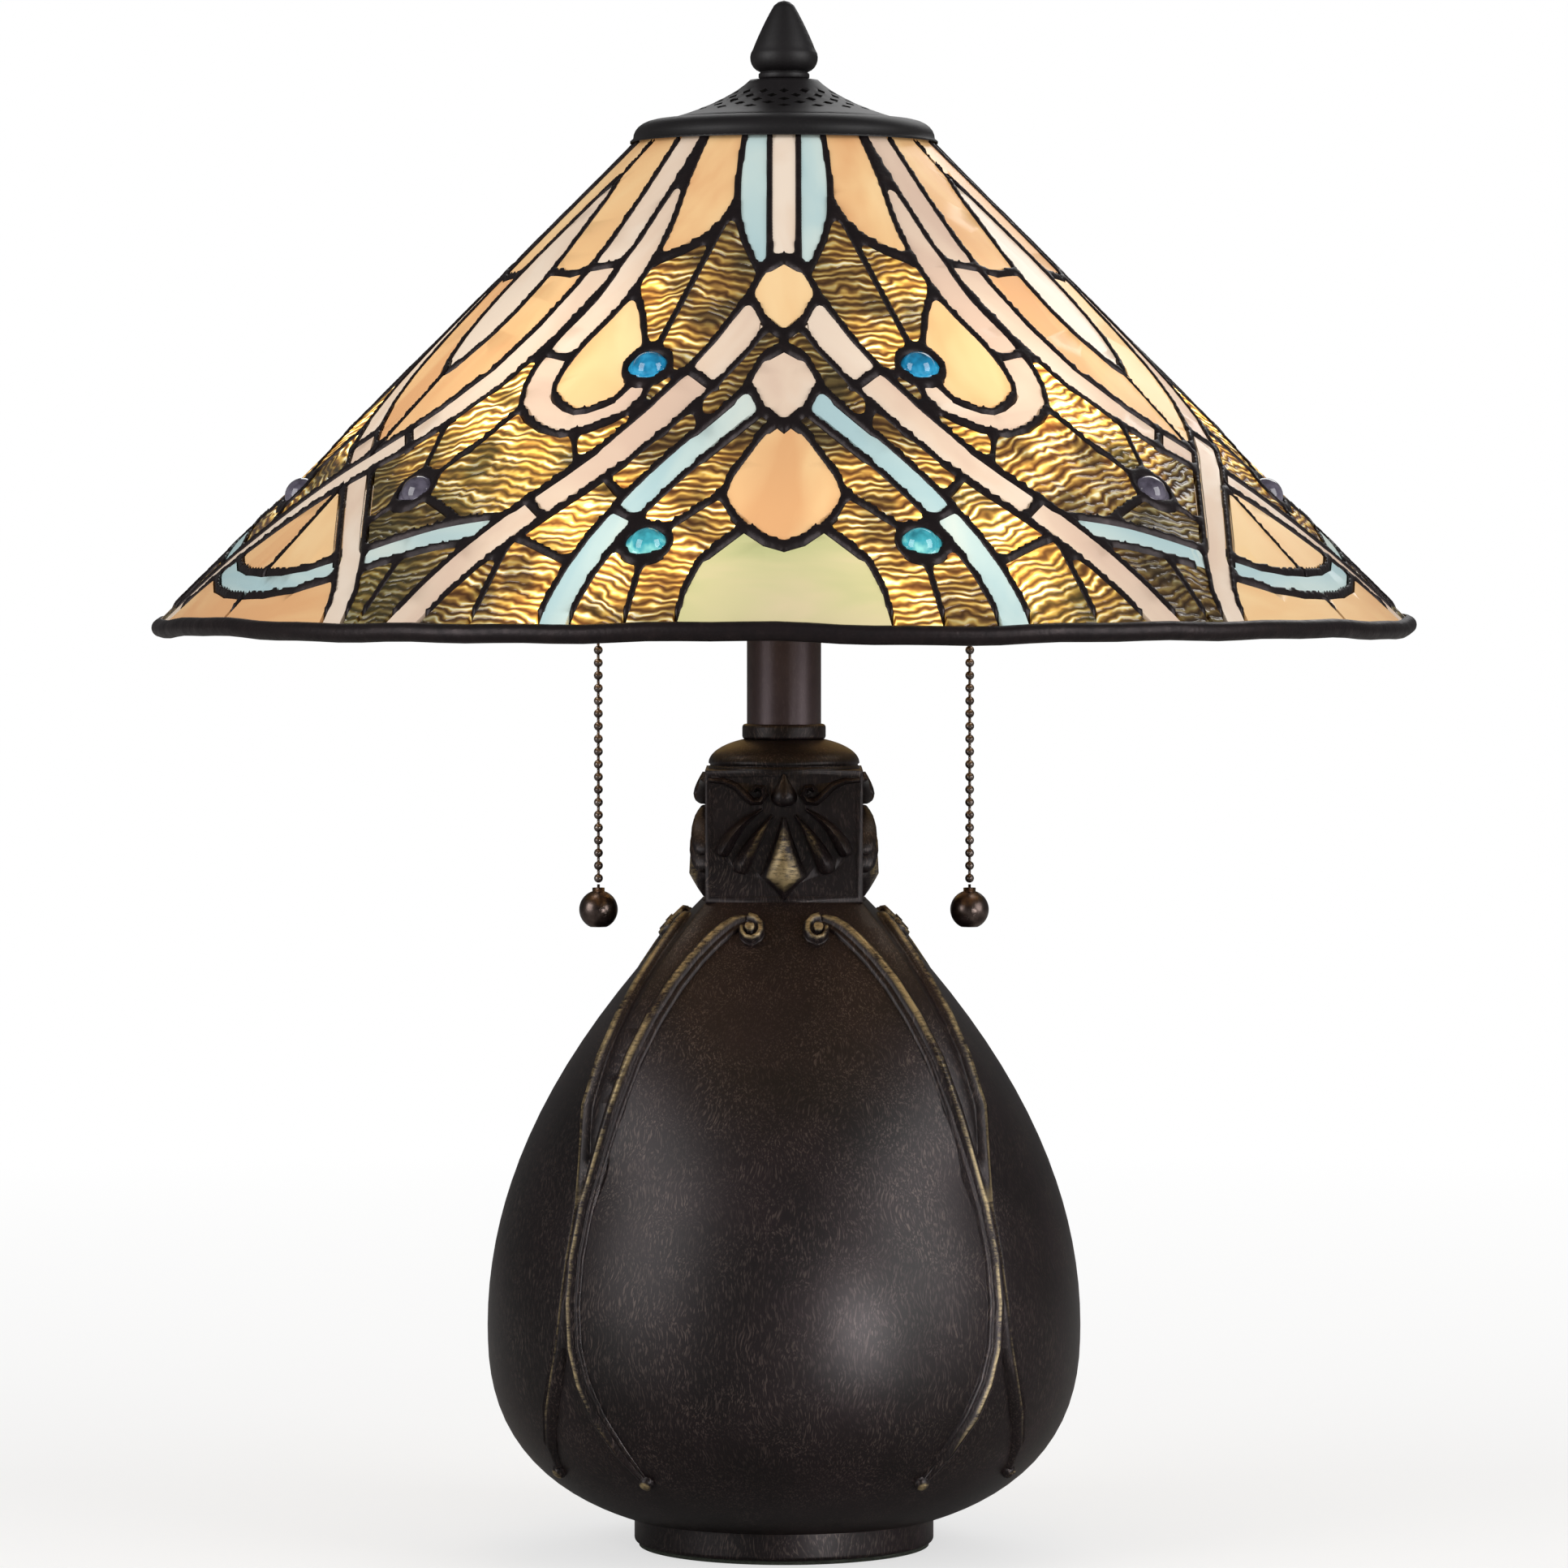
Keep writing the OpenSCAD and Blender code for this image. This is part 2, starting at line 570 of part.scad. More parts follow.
module ball_pull(side) {
  flat = ball_r * 0.9;
  color("#5b4f42") translate([side * pull_x, 0, ball_z]) difference() {
    union() {
      sphere(r = ball_r, $fn = 48);
      translate([0, 0, ball_r - 0.6]) cylinder(r = 2, h = 1.4, $fn = 32);
      translate([0, 0, ball_r]) cylinder(r = wire_r, h = 1.9, $fn = 16);
    }
    translate([0, 0, -flat - 5]) cylinder(r = ball_r, h = 5, $fn = 32);
  }
}

// Shade frame -------------------------------------------------------------

// Height of the cone's middle surface at radius r, shifted by n along its outward normal
function cone_z(r, n = 0) = glass_rim_z + (glass_rim_r - r) * tan(slope) + n / cos(slope);

lead_n = glass_t / 2 + lead_rise;            // outer face of the lead, from the middle surface
spider_z = cone_z(glass_top_r, -lead_n) - 8;

module band(r, ring_r) {
  z = cone_z(r);
  slot = glass_t / 2 + slip;
  back = glass_t / 2 * tan(slope) + slip;
  reach = 3 * ring_r;
  up = r > (glass_rim_r + glass_top_r) / 2 ? 1 : -1;
  u = [-cos(slope), sin(slope)] * up;
  v = [sin(slope), cos(slope)];
  rotate_extrude($fn = 180) translate([r, z]) difference() {
    circle(r = ring_r, $fn = 40);
    polygon([-back * u + slot * v, reach * u + slot * v, reach * u - slot * v, -back * u - slot * v]);
  }
}

module shade_rim_band() {
  color("#2b2324") band(glass_rim_r, rim_band_r);
}

module shade_top_band() {
  color("#2b2324") band(glass_top_r, top_band_r);
}

module shade_spider() {
  top = spider_z + 3.2;
  reach = glass_rim_r - (spider_z - cone_z(glass_rim_r, -lead_n - gap)) / tan(slope);
  reach_top = glass_rim_r - (top - cone_z(glass_rim_r, -lead_n - gap)) / tan(slope);
  inner = reach_top - 4.5;
  color("#6b5a3a") {
    difference() {
      union() {
        translate([0, 0, spider_z]) cylinder(r = 9, h = 3.2, $fn = 72);
        for (q = [45, 135]) rotate(q) translate([-inner - 1, -3, spider_z]) cube([2 * inner + 2, 6, 2]);
      }
      translate([0, 0, spider_z - 1]) cylinder(r = riser_d / 2 + fit, h = 6, $fn = 48);
    }
    rotate_extrude($fn = 180)
      polygon([[inner, spider_z], [reach, spider_z], [reach_top, top], [inner, top]]);
  }
}

module spider_nut() {
  color("#9a958d") hex_nut(14, riser_d / 2 + fit, 4, spider_z - 4);
}

cap_z = cone_z(cap_r, lead_n) + gap;
cap_top_z = cap_z + cap_h;

module riser_rod() {
  color("#b09a5c") translate([0, 0, pipe_top_z + 0.2])
    cylinder(r = riser_d / 2, h = cap_top_z + 8 - pipe_top_z, $fn = 72);
}

// Heat cap and finial -------------------------------------------------------

module heat_cap() {
  shoulder = 0.5 * cap_h;
  neck = 11;
  waist = 0.68 * cap_r;
  roof = bezier([neck, cap_h], [neck + 4, 0.8 * cap_h], [0.46 * cap_r, 0.63 * cap_h],
    [waist, shoulder + 0.5], 8);
  side = bezier([waist + 0.6, shoulder - 0.2], [0.91 * cap_r, 0.4 * cap_h], [0.98 * cap_r, 0.24 * cap_h],
    [0.98 * cap_r, 0.07 * cap_h], 8);
  outer = concat([[riser_d / 2 + fit, cap_h]], roof, side, [[cap_r, 0.6], [cap_r, 0]]);
  inner = concat([[riser_d / 2 + fit, cap_h - cap_t]], shifted(roof, -cap_t), shifted(side, -cap_t),
    [[cap_r - cap_t, 0]]);
  first_r = 16.4;
  row_step = 2.5;
  color("#2a2729") translate([0, 0, cap_z]) difference() {
    rotate_extrude($fn = 180) difference() {
      polygon(concat(outer, reversed(inner)));
      polygon([[cap_r + 9, -9], [cap_r, 0], [cap_r - 9, 9 * tan(slope)], [cap_r - 9, -9]]);
    }
    for (row = [0 : cap_rows - 1], i = [0 : cap_holes - 1])
      let (r = first_r + row * row_step, w = 0.115 * r + 0.5)
        rotate(360 / cap_holes * (i + row / 2)) translate([r, 0, shoulder])
          linear_extrude(cap_h) polygon([[-1.1, 0], [0, -w / 2], [1.1, 0], [0, w / 2]]);
  }
}

module finial() {
  ring_h = 2.5;
  ring_r = 8.2;
  h = finial_h;
  bud = concat(
    bezier([0.72 * finial_r, 0], [finial_r, 0.04 * h], [1.08 * finial_r, 0.26 * h],
      [0.95 * finial_r, 0.35 * h], 7),
    bezier([0.93 * finial_r, 0.37 * h], [0.8 * finial_r, 0.55 * h], [0.55 * finial_r, 0.78 * h],
      [0.3 * finial_r, 0.94 * h], 6),
    [[0.17 * finial_r, 0.98 * h], [0, h]]);
  color("#2a2729") translate([0, 0, cap_top_z + 0.1]) difference() {
    rotate_extrude($fn = 96) polygon(concat(
      [[0, 0], [ring_r - 0.7, 0], [ring_r, 0.7], [ring_r, ring_h - 0.7], [ring_r - 0.7, ring_h]],
      [for (q = bud) [q.x, q.y + ring_h]]));
    translate([0, 0, -1]) cylinder(r = riser_d / 2 + fit, h = 10.5, $fn = 48);
  }
}

// Leaded pattern ------------------------------------------------------------
// The cone is unrolled flat, the pattern is drawn there, and the drawing is wrapped back to plan.
// Points are [angle round the shade from the middle of a repeat, radius]. One repeat spans 120
// degrees, and each item is drawn on both sides of its middle.

// Unrolled point of [angle, radius]
function flat(q) = let (f = q.x * cos(slope)) q.y / cos(slope) * [sin(f), cos(f)];

// Plan point of an unrolled point
function wrap(p) = let (a = atan2(p.x, p.y) / cos(slope)) norm(p) * cos(slope) * [sin(a), -cos(a)];

function flats(p) = [for (q = p) flat(q)];

// Outline that is the same on both sides of the angle middle, from its points on one side
function twin(p, middle) = concat(p, [for (i = [len(p) - 1 : -1 : 0])
  if (p[i].x != middle) [2 * middle - p[i].x, p[i].y]]);

PATCH = 0;
RIBBON = 1;
LINE = 2;
STUD = 3;

// Items from the lowest up: [kind, glass, points, width or widths, steps between two points]
items = [
  // hanging drop: a peach field round a paler heart
  [PATCH, "peach", twin([[40, 34], [37.5, 66], [39, 96], [45, 124], [54, 144], [60, 151]], 60), 0, 2],
  [PATCH, "cream", twin([[60, 60], [55, 77], [53.5, 96], [55.5, 112], [60, 123]], 60), 0, 2],
  [LINE, "", [[60, 30], [60, 61]], 0, 1],
  [LINE, "", [[60, 122], [60, 152]], 0, 1],
  // foot of the drop, down to the rim
  [PATCH, "peach", twin([[60, 150], [66, 160], [71, 174], [76, 192], [79, 230]], 60), 0, 2],
  [LINE, "", [[60, 150], [60, 230]], 0, 1],
  // peach panel high between the leaves and the drop
  [PATCH, "peach", [[14, 30], [14, 52], [12.5, 70], [18, 82], [26, 88], [31, 92], [32, 70], [38, 50],
    [40, 30]], 0, 2],
  // teardrop in the scroll
  [PATCH, "peach", [[20, 122], [21.5, 132], [27, 138.5], [33.5, 134], [36, 121], [33, 106], [31, 92]], 0, 2],
  // cuts through the rippled ground
  [LINE, "", [[20, 122], [14, 76]], 0, 1],
  [LINE, "", [[36, 121], [45, 116]], 0, 1],
  [LINE, "", [[28, 138], [23.5, 156]], 0, 1],
  [LINE, "", [[35, 130], [40, 146], [45, 160]], 0, 1],
  [LINE, "", [[49, 136], [45, 160], [50, 174]], 0, 1],
  [LINE, "", [[45, 160], [31, 176]], 0, 1],
  [LINE, "", [[40, 181], [40, 230]], 0, 1],
  // amber band between the arches
  [LINE, "", [[0, 98], [0, 128]], 0, 1],
  [LINE, "", [[12, 126], [10, 146]], 0, 1],
  [LINE, "", [[22, 152], [16, 166]], 0, 1],
  [LINE, "", [[30, 172], [18, 186]], 0, 1],
  [LINE, "", [[28, 175], [28, 230]], 0, 1],
  // bud inside the inner arch
  [PATCH, "green", twin([[0, 166], [6, 176], [9, 190], [8, 230]], 0), 0, 2],
  [LINE, "", [[5, 158], [13.5, 176], [20, 180]], 0, 1],
  [LINE, "", [[13.5, 176], [14, 230]], 0, 1],
  [PATCH, "peach", twin([[0, 138], [4.5, 150], [6.5, 162], [3.5, 172], [0, 177]], 0), 0, 2],
  // rim swag
  [RIBBON, "aqua", [[76, 180], [68, 187], [60, 189], [52, 187], [44, 180], [37, 174], [29.5, 171]], 10, 2],
  // inner ogee arch
  [RIBBON, "aqua", [[18, 225], [20, 204], [19.5, 186], [16.5, 167], [11, 149], [4.5, 134], [0, 122]], 10, 2],
  [LINE, "", [[14.5, 170], [18.5, 165]], 0, 1],
  // outer ogee arch
  [RIBBON, "cream", [[37, 225], [35, 200], [32, 182], [27, 166], [20, 149], [12, 127], [5, 107],
    [0, 92]], 12, 2],
  [LINE, "", [[25, 169], [29, 162]], 0, 1],
  [LINE, "", [[9, 130], [14.5, 122]], 0, 1],
  // stem and its leaves
  [PATCH, "aqua", [[0, 100], [6, 89], [11.5, 73], [14.5, 52], [15, 30], [0, 30]], 0, 2],
  [RIBBON, "cream", [[0, 30], [0, 96]], 9, 1],
  [PATCH, "peach", twin([[0, 88], [6, 99], [0, 113]], 0), 0, 2],
  [PATCH, "cream", twin([[0, 116], [5, 127], [0, 141]], 0), 0, 2],
  // scroll that leaves the drop's border, with a jewel in its eye
  [RIBBON, "cream", [[39, 36], [34, 60], [31, 80], [32, 100], [36, 118], [35, 132], [28, 139.5],
    [21.5, 134], [20, 125]], [8, 11, 12, 10, 6], 3],
  [LINE, "", [[33.2, 119.5], [40, 117]], 0, 1],
  // drop's border
  [RIBBON, "cream", [[40, 30], [37.5, 66], [39, 96], [45, 124], [54, 144], [63, 158], [70, 173],
    [76, 192], [79, 222]], [9, 12, 12, 10, 8], 2],
  [LINE, "", [[35, 89], [46, 92], [54, 91]], 0, 1],
  [LINE, "", [[51.5, 148], [56.5, 140]], 0, 1],
  [STUD, "blue", [[20, 122]], 0, 0],
  [STUD, "teal", [[13.5, 176]], 0, 0],
  [STUD, "violet", [[45, 160]], 0, 0],
];

stud_sides = 16;

function curve_of(item) =
  item[0] == PATCH ? loop(flats(item[2]), item[4]) :
  item[0] == STUD ? [for (i = [0 : stud_sides - 1]) let (a = 360 * i / stud_sides)
    flat(item[2][0]) + (jewel_r + seam_w / 2) * [cos(a), sin(a)]] :
  spline(flats(item[2]), item[4]);

seam_w = lead_w + 2 * slip;            // gap between two panes
curves = [for (item = items) curve_of(item)];

// Width at the share f along a ribbon: w is one width, or widths at even steps along it
function width_at(w, f) = is_num(w)
  ? w : lookup(f * (len(w) - 1), [for (i = [0 : len(w) - 1]) [i, w[i]]]);

// Strip along the curve p, w wide and grown by g on both sides
module strip(p, w, g = 0) {
  side = [for (i = [0 : len(p) - 1]) (width_at(w, i / (len(p) - 1)) / 2 + g) * normal_at(p, i)];
  polygon([for (q = concat(p + side, reversed(p - side))) wrap(q)]);
}

// Three repeats of a drawing on one side of its middle (m = 1) or on the other (m = 0)
module repeats(m) {
  for (q = [0, 120, 240]) rotate(q) mirror([m, 0]) children();
}

// What item k covers, grown by g
module cover(k, g = 0) {
  item = items[floor(k / 2)];
  p = curves[floor(k / 2)];
  repeats(k % 2) {
    if (item[0] == PATCH || item[0] == STUD) offset(delta = g) polygon([for (q = p) wrap(q)]);
    if (item[0] == RIBBON) strip(p, item[3], g);
  }
}

// Gaps between panes, with items 0 to k drawn
module seams(k) {
  if (k >= 0) {
    item = items[floor(k / 2)];
    if (item[0] == LINE) {
      seams(k - 1);
      repeats(k % 2) strip(curves[floor(k / 2)], seam_w);
    } else {
      difference() {
        seams(k - 1);
        cover(k);
      }
      difference() {
        cover(k, seam_w / 2);
        cover(k, -seam_w / 2);
      }
    }
  }
}

// Area of one kind of glass, with items 0 to k drawn over a ground of rippled glass
module painted(kind, k) {
  if (k < 0) {
    if (kind == "ripple") circle(r = glass_rim_r + 10, $fn = 60);
  } else if (items[floor(k / 2)][0] == LINE) {
    painted(kind, k - 1);
  } else {
    difference() {
      painted(kind, k - 1);
      cover(k);
    }
    if (items[floor(k / 2)][1] == kind) cover(k);
  }
}

module annulus() {
  difference() {
    circle(r = glass_rim_r, $fn = 120);
    circle(r = glass_top_r, $fn = 60);
  }
}

module panes() {
  crumb = 1;
  intersection() {
    annulus();
    offset(delta = crumb) offset(delta = -crumb) difference() {
      annulus();
      seams(2 * len(items) - 1);
    }
  }
}

module pane_kind(kind) {
  intersection() {
    panes();
    painted(kind, 2 * len(items) - 1);
  }
}

// Layer of the cone from n0 to n1 along its outward normal
module cone_layer(n0, n1) {
  r0 = glass_top_r - 12;
  r1 = glass_rim_r + 12;
  rotate_extrude($fn = 180) polygon([[r0, cone_z(r0, n0)], [r1, cone_z(r1, n0)], [r1, cone_z(r1, n1)],
    [r0, cone_z(r0, n1)]]);
}

// Stands a plan drawing up through the cone
module prism() {
  translate([0, 0, glass_rim_z - 40]) linear_extrude(280) children();
}

module glass(kind, tint) {
  color(tint) intersection() {
    cone_layer(-glass_t / 2, glass_t / 2);
    prism() offset(delta = 0) pane_kind(kind);
  }
}

// Round domed jewels, each with its flat back in the seat that the pattern leaves
module jewels(kind, tint) {
  play = 0.4;
  root = 0.1;
  base = jewel_r - lead_rise / 2 - play;
  lean = (glass_t + lead_rise) / 2 * tan(slope);     // the seats are cut straight up, across the slope
  dome_r = (base ^ 2 + jewel_dome ^ 2) / (2 * jewel_dome);
  glass(kind, tint);
  color(tint) for (item = items, m = [0, 1], q = [0, 120, 240]) if (item[0] == STUD && item[1] == kind) {
    spot = item[2][0];
    rotate(q) mirror([m, 0, 0]) rotate(spot.x) translate([0, -spot.y, cone_z(spot.y)]) rotate([slope, 0, 0])
      intersection() {
        translate([0, lean, glass_t / 2 + jewel_dome - dome_r]) sphere(r = dome_r, $fn = 48);
        translate([0, lean, glass_t / 2 - root]) cylinder(r = base, h = jewel_dome + 1, $fn = 48);
      }
  }
}

// Third of the shade, turned a little so that its sides pass beside the corners of the middle panes
module third(a) {
  turn = 0.25;
  corners = [[0, 0], [-60, 400], [0, 800], [60, 400]];
  rotate(a + turn) polygon([for (q = corners) q.y * [sin(q.x), -cos(q.x)]]);
}

module lead(a) {
  color("#2b2324") intersection() {
    cone_layer(-lead_n, lead_n);
    prism() offset(delta = 0) intersection() {
      difference() {
        circle(r = glass_rim_r - rim_band_r - gap, $fn = 120);
        circle(r = glass_top_r + top_band_r + gap, $fn = 60);
        offset(delta = slip) panes();
      }
      third(a);
    }
  }
}

felt_pad();
base_foot();
cord_grommet();
ballast_weight();
vase_body();
neck_block();
neck_dome();
column_collar();
column_tube();
lamp_pipe();
bottom_washer();
bottom_nut();
cluster_body();
cluster_nipples();
cluster_nut();
riser_rod();
socket_cap(-1);  // socket_cap_left
socket_cap(1);  // socket_cap_right
socket_shell(-1);  // socket_shell_left
socket_shell(1);  // socket_shell_right
switch_body(-1);  // switch_body_left
switch_body(1);  // switch_body_right
screw_shell(-1);  // screw_shell_left
screw_shell(1);  // screw_shell_right
chain_guide(-1);  // chain_guide_left
chain_guide(1);  // chain_guide_right
bulb_base(-1);  // bulb_base_left
bulb_base(1);  // bulb_base_right
bulb_glass(-1);  // bulb_glass_left
bulb_glass(1);  // bulb_glass_right
pull_lever(-1);  // pull_lever_left
pull_lever(1);  // pull_lever_right
pull_chain(-1);  // pull_chain_left
pull_chain(1);  // pull_chain_right
ball_pull(-1);  // ball_pull_left
ball_pull(1);  // ball_pull_right
spider_nut();
shade_spider();
shade_top_band();
shade_rim_band();
lead(0);  // lead_front
lead(240);  // lead_rear_left
lead(120);  // lead_rear_right
glass("ripple", "#6e6238");  // glass_ripple
glass("peach", "#f2c795");  // glass_peach
glass("cream", "#ebcdb8");  // glass_cream
glass("aqua", "#c3d9da");  // glass_aqua
glass("green", "#cfcfa6");  // glass_green
jewels("blue", "#1e8fc4");  // jewels_blue
jewels("teal", "#3fa9a8");  // jewels_teal
jewels("violet", "#6b6070");  // jewels_violet
heat_cap();
finial();
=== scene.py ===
"""Looks of the leaded-glass table lamp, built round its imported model."""

import json
import math
import random

import bmesh
import bpy
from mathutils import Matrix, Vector


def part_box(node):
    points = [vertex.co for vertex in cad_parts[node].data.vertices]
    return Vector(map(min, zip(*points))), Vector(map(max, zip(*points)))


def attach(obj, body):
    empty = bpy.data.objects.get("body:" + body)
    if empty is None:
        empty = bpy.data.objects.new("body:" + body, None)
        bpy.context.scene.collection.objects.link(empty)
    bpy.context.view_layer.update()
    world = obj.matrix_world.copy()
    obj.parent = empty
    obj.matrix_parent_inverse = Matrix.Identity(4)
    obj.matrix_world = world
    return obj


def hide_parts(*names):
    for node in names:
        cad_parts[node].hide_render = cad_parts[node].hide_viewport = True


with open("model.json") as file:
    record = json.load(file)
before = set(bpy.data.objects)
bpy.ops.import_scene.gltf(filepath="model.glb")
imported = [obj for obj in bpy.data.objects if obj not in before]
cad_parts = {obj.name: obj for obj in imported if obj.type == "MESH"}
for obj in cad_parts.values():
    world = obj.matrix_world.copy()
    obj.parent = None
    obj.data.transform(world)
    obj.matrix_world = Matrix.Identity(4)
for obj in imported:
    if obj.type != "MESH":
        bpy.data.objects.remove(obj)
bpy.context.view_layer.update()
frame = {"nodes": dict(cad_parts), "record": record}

MM = 0.001
BODY_OF = {cad: body for body, cads in frame["record"]["behaviour"]["bodies"].items() for cad in cads}
CHANCE = random.Random(19)
WELD, SLIVER = 0.002 * MM, 0.001 * MM  # nearer corners are merged, and shorter edges dropped


# Tools ----------------------------------------------------------------------


def linear(code):
    """Linear RGBA of an sRGB hex code."""
    parts = [int(code[i : i + 2], 16) / 255 for i in (1, 3, 5)]
    return [p / 12.92 if p <= 0.04045 else ((p + 0.055) / 1.055) ** 2.4 for p in parts] + [1]


def node(tree, kind, inputs=None, stops=None, out=0, **settings):
    """Adds a shader node and returns one of its outputs: inputs are its values or the outputs that feed
    it, stops the positions and colours of a ramp, out which output, and settings its properties. Of a
    MapRange, input 0 is the value, 1 and 2 are its ends and 3 and 4 what these become. Of a Mix, 0 is
    the share, and 6 and 7 are the colours."""
    made = tree.nodes.new(f"ShaderNode{kind}")
    for name, value in settings.items():
        setattr(made, name, value)
    for key, value in (inputs or {}).items():
        if isinstance(value, bpy.types.NodeSocket):
            tree.links.new(value, made.inputs[key])
        else:
            made.inputs[key].default_value = value
    for i, (place, code) in enumerate(stops or []):
        ramp = made.color_ramp.elements
        stop = ramp[i] if i < 2 else ramp.new(place)
        stop.position = place
        stop.color = linear(code)
    return made.outputs[out] if made.outputs else None


def material(name):
    """A new material with no nodes yet, and its node tree."""
    made = bpy.data.materials.new(name)
    made.use_nodes = True
    made.node_tree.nodes.clear()
    return made, made.node_tree


def alone(piece):
    """Selects only this piece and makes it active."""
    bpy.ops.object.select_all(action="DESELECT")
    piece.select_set(True)
    bpy.context.view_layer.objects.active = piece


def apply_modifiers(piece):
    """Makes a piece's modifiers part of its mesh, in their order."""
    alone(piece)
    for name in [m.name for m in piece.modifiers]:
        bpy.ops.object.modifier_apply(modifier=name)


def stands_for(name, cad):
    """A closed copy of a CAD node that replaces it and rides on its body."""
    shape = bmesh.new()
    shape.from_mesh(frame["nodes"][cad].data)
    bmesh.ops.remove_doubles(shape, verts=shape.verts, dist=WELD)
    bmesh.ops.dissolve_degenerate(shape, edges=shape.edges, dist=SLIVER)
    mesh = bpy.data.meshes.new(name)
    shape.to_mesh(mesh)
    shape.free()
    piece = bpy.data.objects.new(name, mesh)
    bpy.context.scene.collection.objects.link(piece)
    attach(piece, BODY_OF[cad])
    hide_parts(cad)
    return piece


def smooth(piece, degrees):
    """Shades faces that meet at less than this angle as one, each by its area, so that slivers don't
    show."""
    alone(piece)
    bpy.ops.object.shade_smooth_by_angle(angle=math.radians(degrees))
    even = piece.modifiers.new("even", "WEIGHTED_NORMAL")
    even.keep_sharp, even.weight = True, 100
    bpy.ops.object.modifier_apply(modifier="even")


def paint(piece, finish):
    """Gives a piece this material and no other."""
    piece.data.materials.clear()
    piece.data.materials.append(finish)


def smooth_copy(name, cad, finish, degrees=40):
    """A copy of a CAD node that stands for it, with its round faces shaded smooth."""
    piece = stands_for(name, cad)
    smooth(piece, degrees)
    paint(piece, finish)


def coat(cad, finish):
    """Gives a CAD node that stays as it is a material."""
    for slot in frame["nodes"][cad].material_slots:
        slot.material = finish


def both(*names):
    """The left and right nodes of each name."""
    return [f"{name}_{side}" for name in names for side in ("left", "right")]


def mark(piece, name, kind, field, values):
    """Stores a value on each corner of a piece, for its material to read by this name."""
    piece.data.attributes.new(name, kind, "POINT").data.foreach_set(field, values)


# Light inside the shade, painted on the glass as glow -------------------------

BULBS = [sum(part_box(cad), Vector()) / 2 for cad in both("bulb_glass")]
PAINTED_GLOW_REACH = 75 * MM  # from a bulb, where the painted glow on the glass has a strength of 1
PAINTED_GLOW_FALL = 2.2  # the power of the distance by which that painted glow falls
# Painted hot spots on the cone, where a bulb would show through from in front or behind: low ones and
# high ones
SPOT_PLACES = ((52 * MM, 168 * MM, 322 * MM), (72 * MM, 100 * MM, 379 * MM))
PAINTED_HOT_SPOTS = [Vector((x * east, y * north, z)) for x, y, z in SPOT_PLACES for east in (1, -1)
    for north in (1, -1)]
SPOT_SPREAD = 34 * MM
SPOT_PEAK = 2.4


def painted_bulb_glow(tree):
    """How strong a glow is painted on the glass in place of the bulbs' light: it falls with the distance
    from each bulb, and rises in the painted hot spots."""
    place = node(tree, "TexCoord", out="Object")
    total = None
    for bulb in BULBS:
        far = node(tree, "VectorMath", {0: place, 1: bulb}, operation="DISTANCE", out="Value")
        near = node(tree, "Math", {0: PAINTED_GLOW_REACH, 1: far}, operation="DIVIDE")
        share = node(tree, "Math", {0: near, 1: PAINTED_GLOW_FALL}, operation="POWER")
        total = share if total is None else node(tree, "Math", {0: total, 1: share})
    for spot in PAINTED_HOT_SPOTS:
        far = node(tree, "VectorMath", {0: place, 1: spot}, operation="DISTANCE", out="Value")
        share = node(tree, "MapRange", {0: far, 1: 0, 2: 2 * SPOT_SPREAD, 3: SPOT_PEAK, 4: 0},
            interpolation_type="SMOOTHSTEP")
        total = node(tree, "Math", {0: total, 1: share})
    return total


# Glass ----------------------------------------------------------------------

WAVE_LENGTH = math.pi / 10  # of Blender's wave texture at a scale of 1


def opal(name, stops, painted_glow_tint, painted_glow_share):
    """Kiln-rolled opalescent sheet glass: milky colour in large soft clouds, satin from the rollers,
    with lamp light through it painted on as an even warm glow. Clouds are about 30 mm wide and longer
    along the sheet."""
    made, tree = material(name)
    pane = node(tree, "Attribute", attribute_name="pane", out="Vector")
    shade = node(tree, "Attribute", attribute_name="shade", out="Fac")
    drawn = node(tree, "Mapping", {0: pane, "Scale": (0.45, 1, 1)})
    swirl = node(tree, "TexNoise", {"Vector": drawn, "Scale": 1 / (30 * MM), "Detail": 3,
        "Roughness": 0.5, "Distortion": 0.7}, out="Fac")
    # sheets differ, so part of the difference is from pane to pane
    level = node(tree, "MapRange", {0: shade, 3: -0.12, 4: 0.12})
    shifted = node(tree, "Math", {0: swirl, 1: level})
    tint = node(tree, "ValToRGB", {"Fac": shifted}, stops=stops, out="Color")
    fine = node(tree, "TexNoise", {"Vector": pane, "Scale": 1 / (5 * MM), "Detail": 2}, out="Fac")
    bump = node(tree, "Bump", {"Strength": 0.12, "Distance": 0.3 * MM, "Height": fine})
    # painted glow: emission on the sheet stands in for the bulbs' light coming through it
    painted_glow = node(tree, "Math", {0: painted_bulb_glow(tree), 1: painted_glow_share}, operation="MULTIPLY")
    painted_glow_colour = node(tree, "Mix", {0: 0.55, 6: tint, 7: linear(painted_glow_tint)}, data_type="RGBA",
        blend_type="MULTIPLY", out=2)
    shader = node(tree, "BsdfPrincipled", {"Base Color": tint, "Roughness": 0.3, "IOR": 1.5,
        "Normal": bump, "Emission Color": painted_glow_colour, "Emission Strength": painted_glow})
    node(tree, "OutputMaterial", {"Surface": shader})
    return made


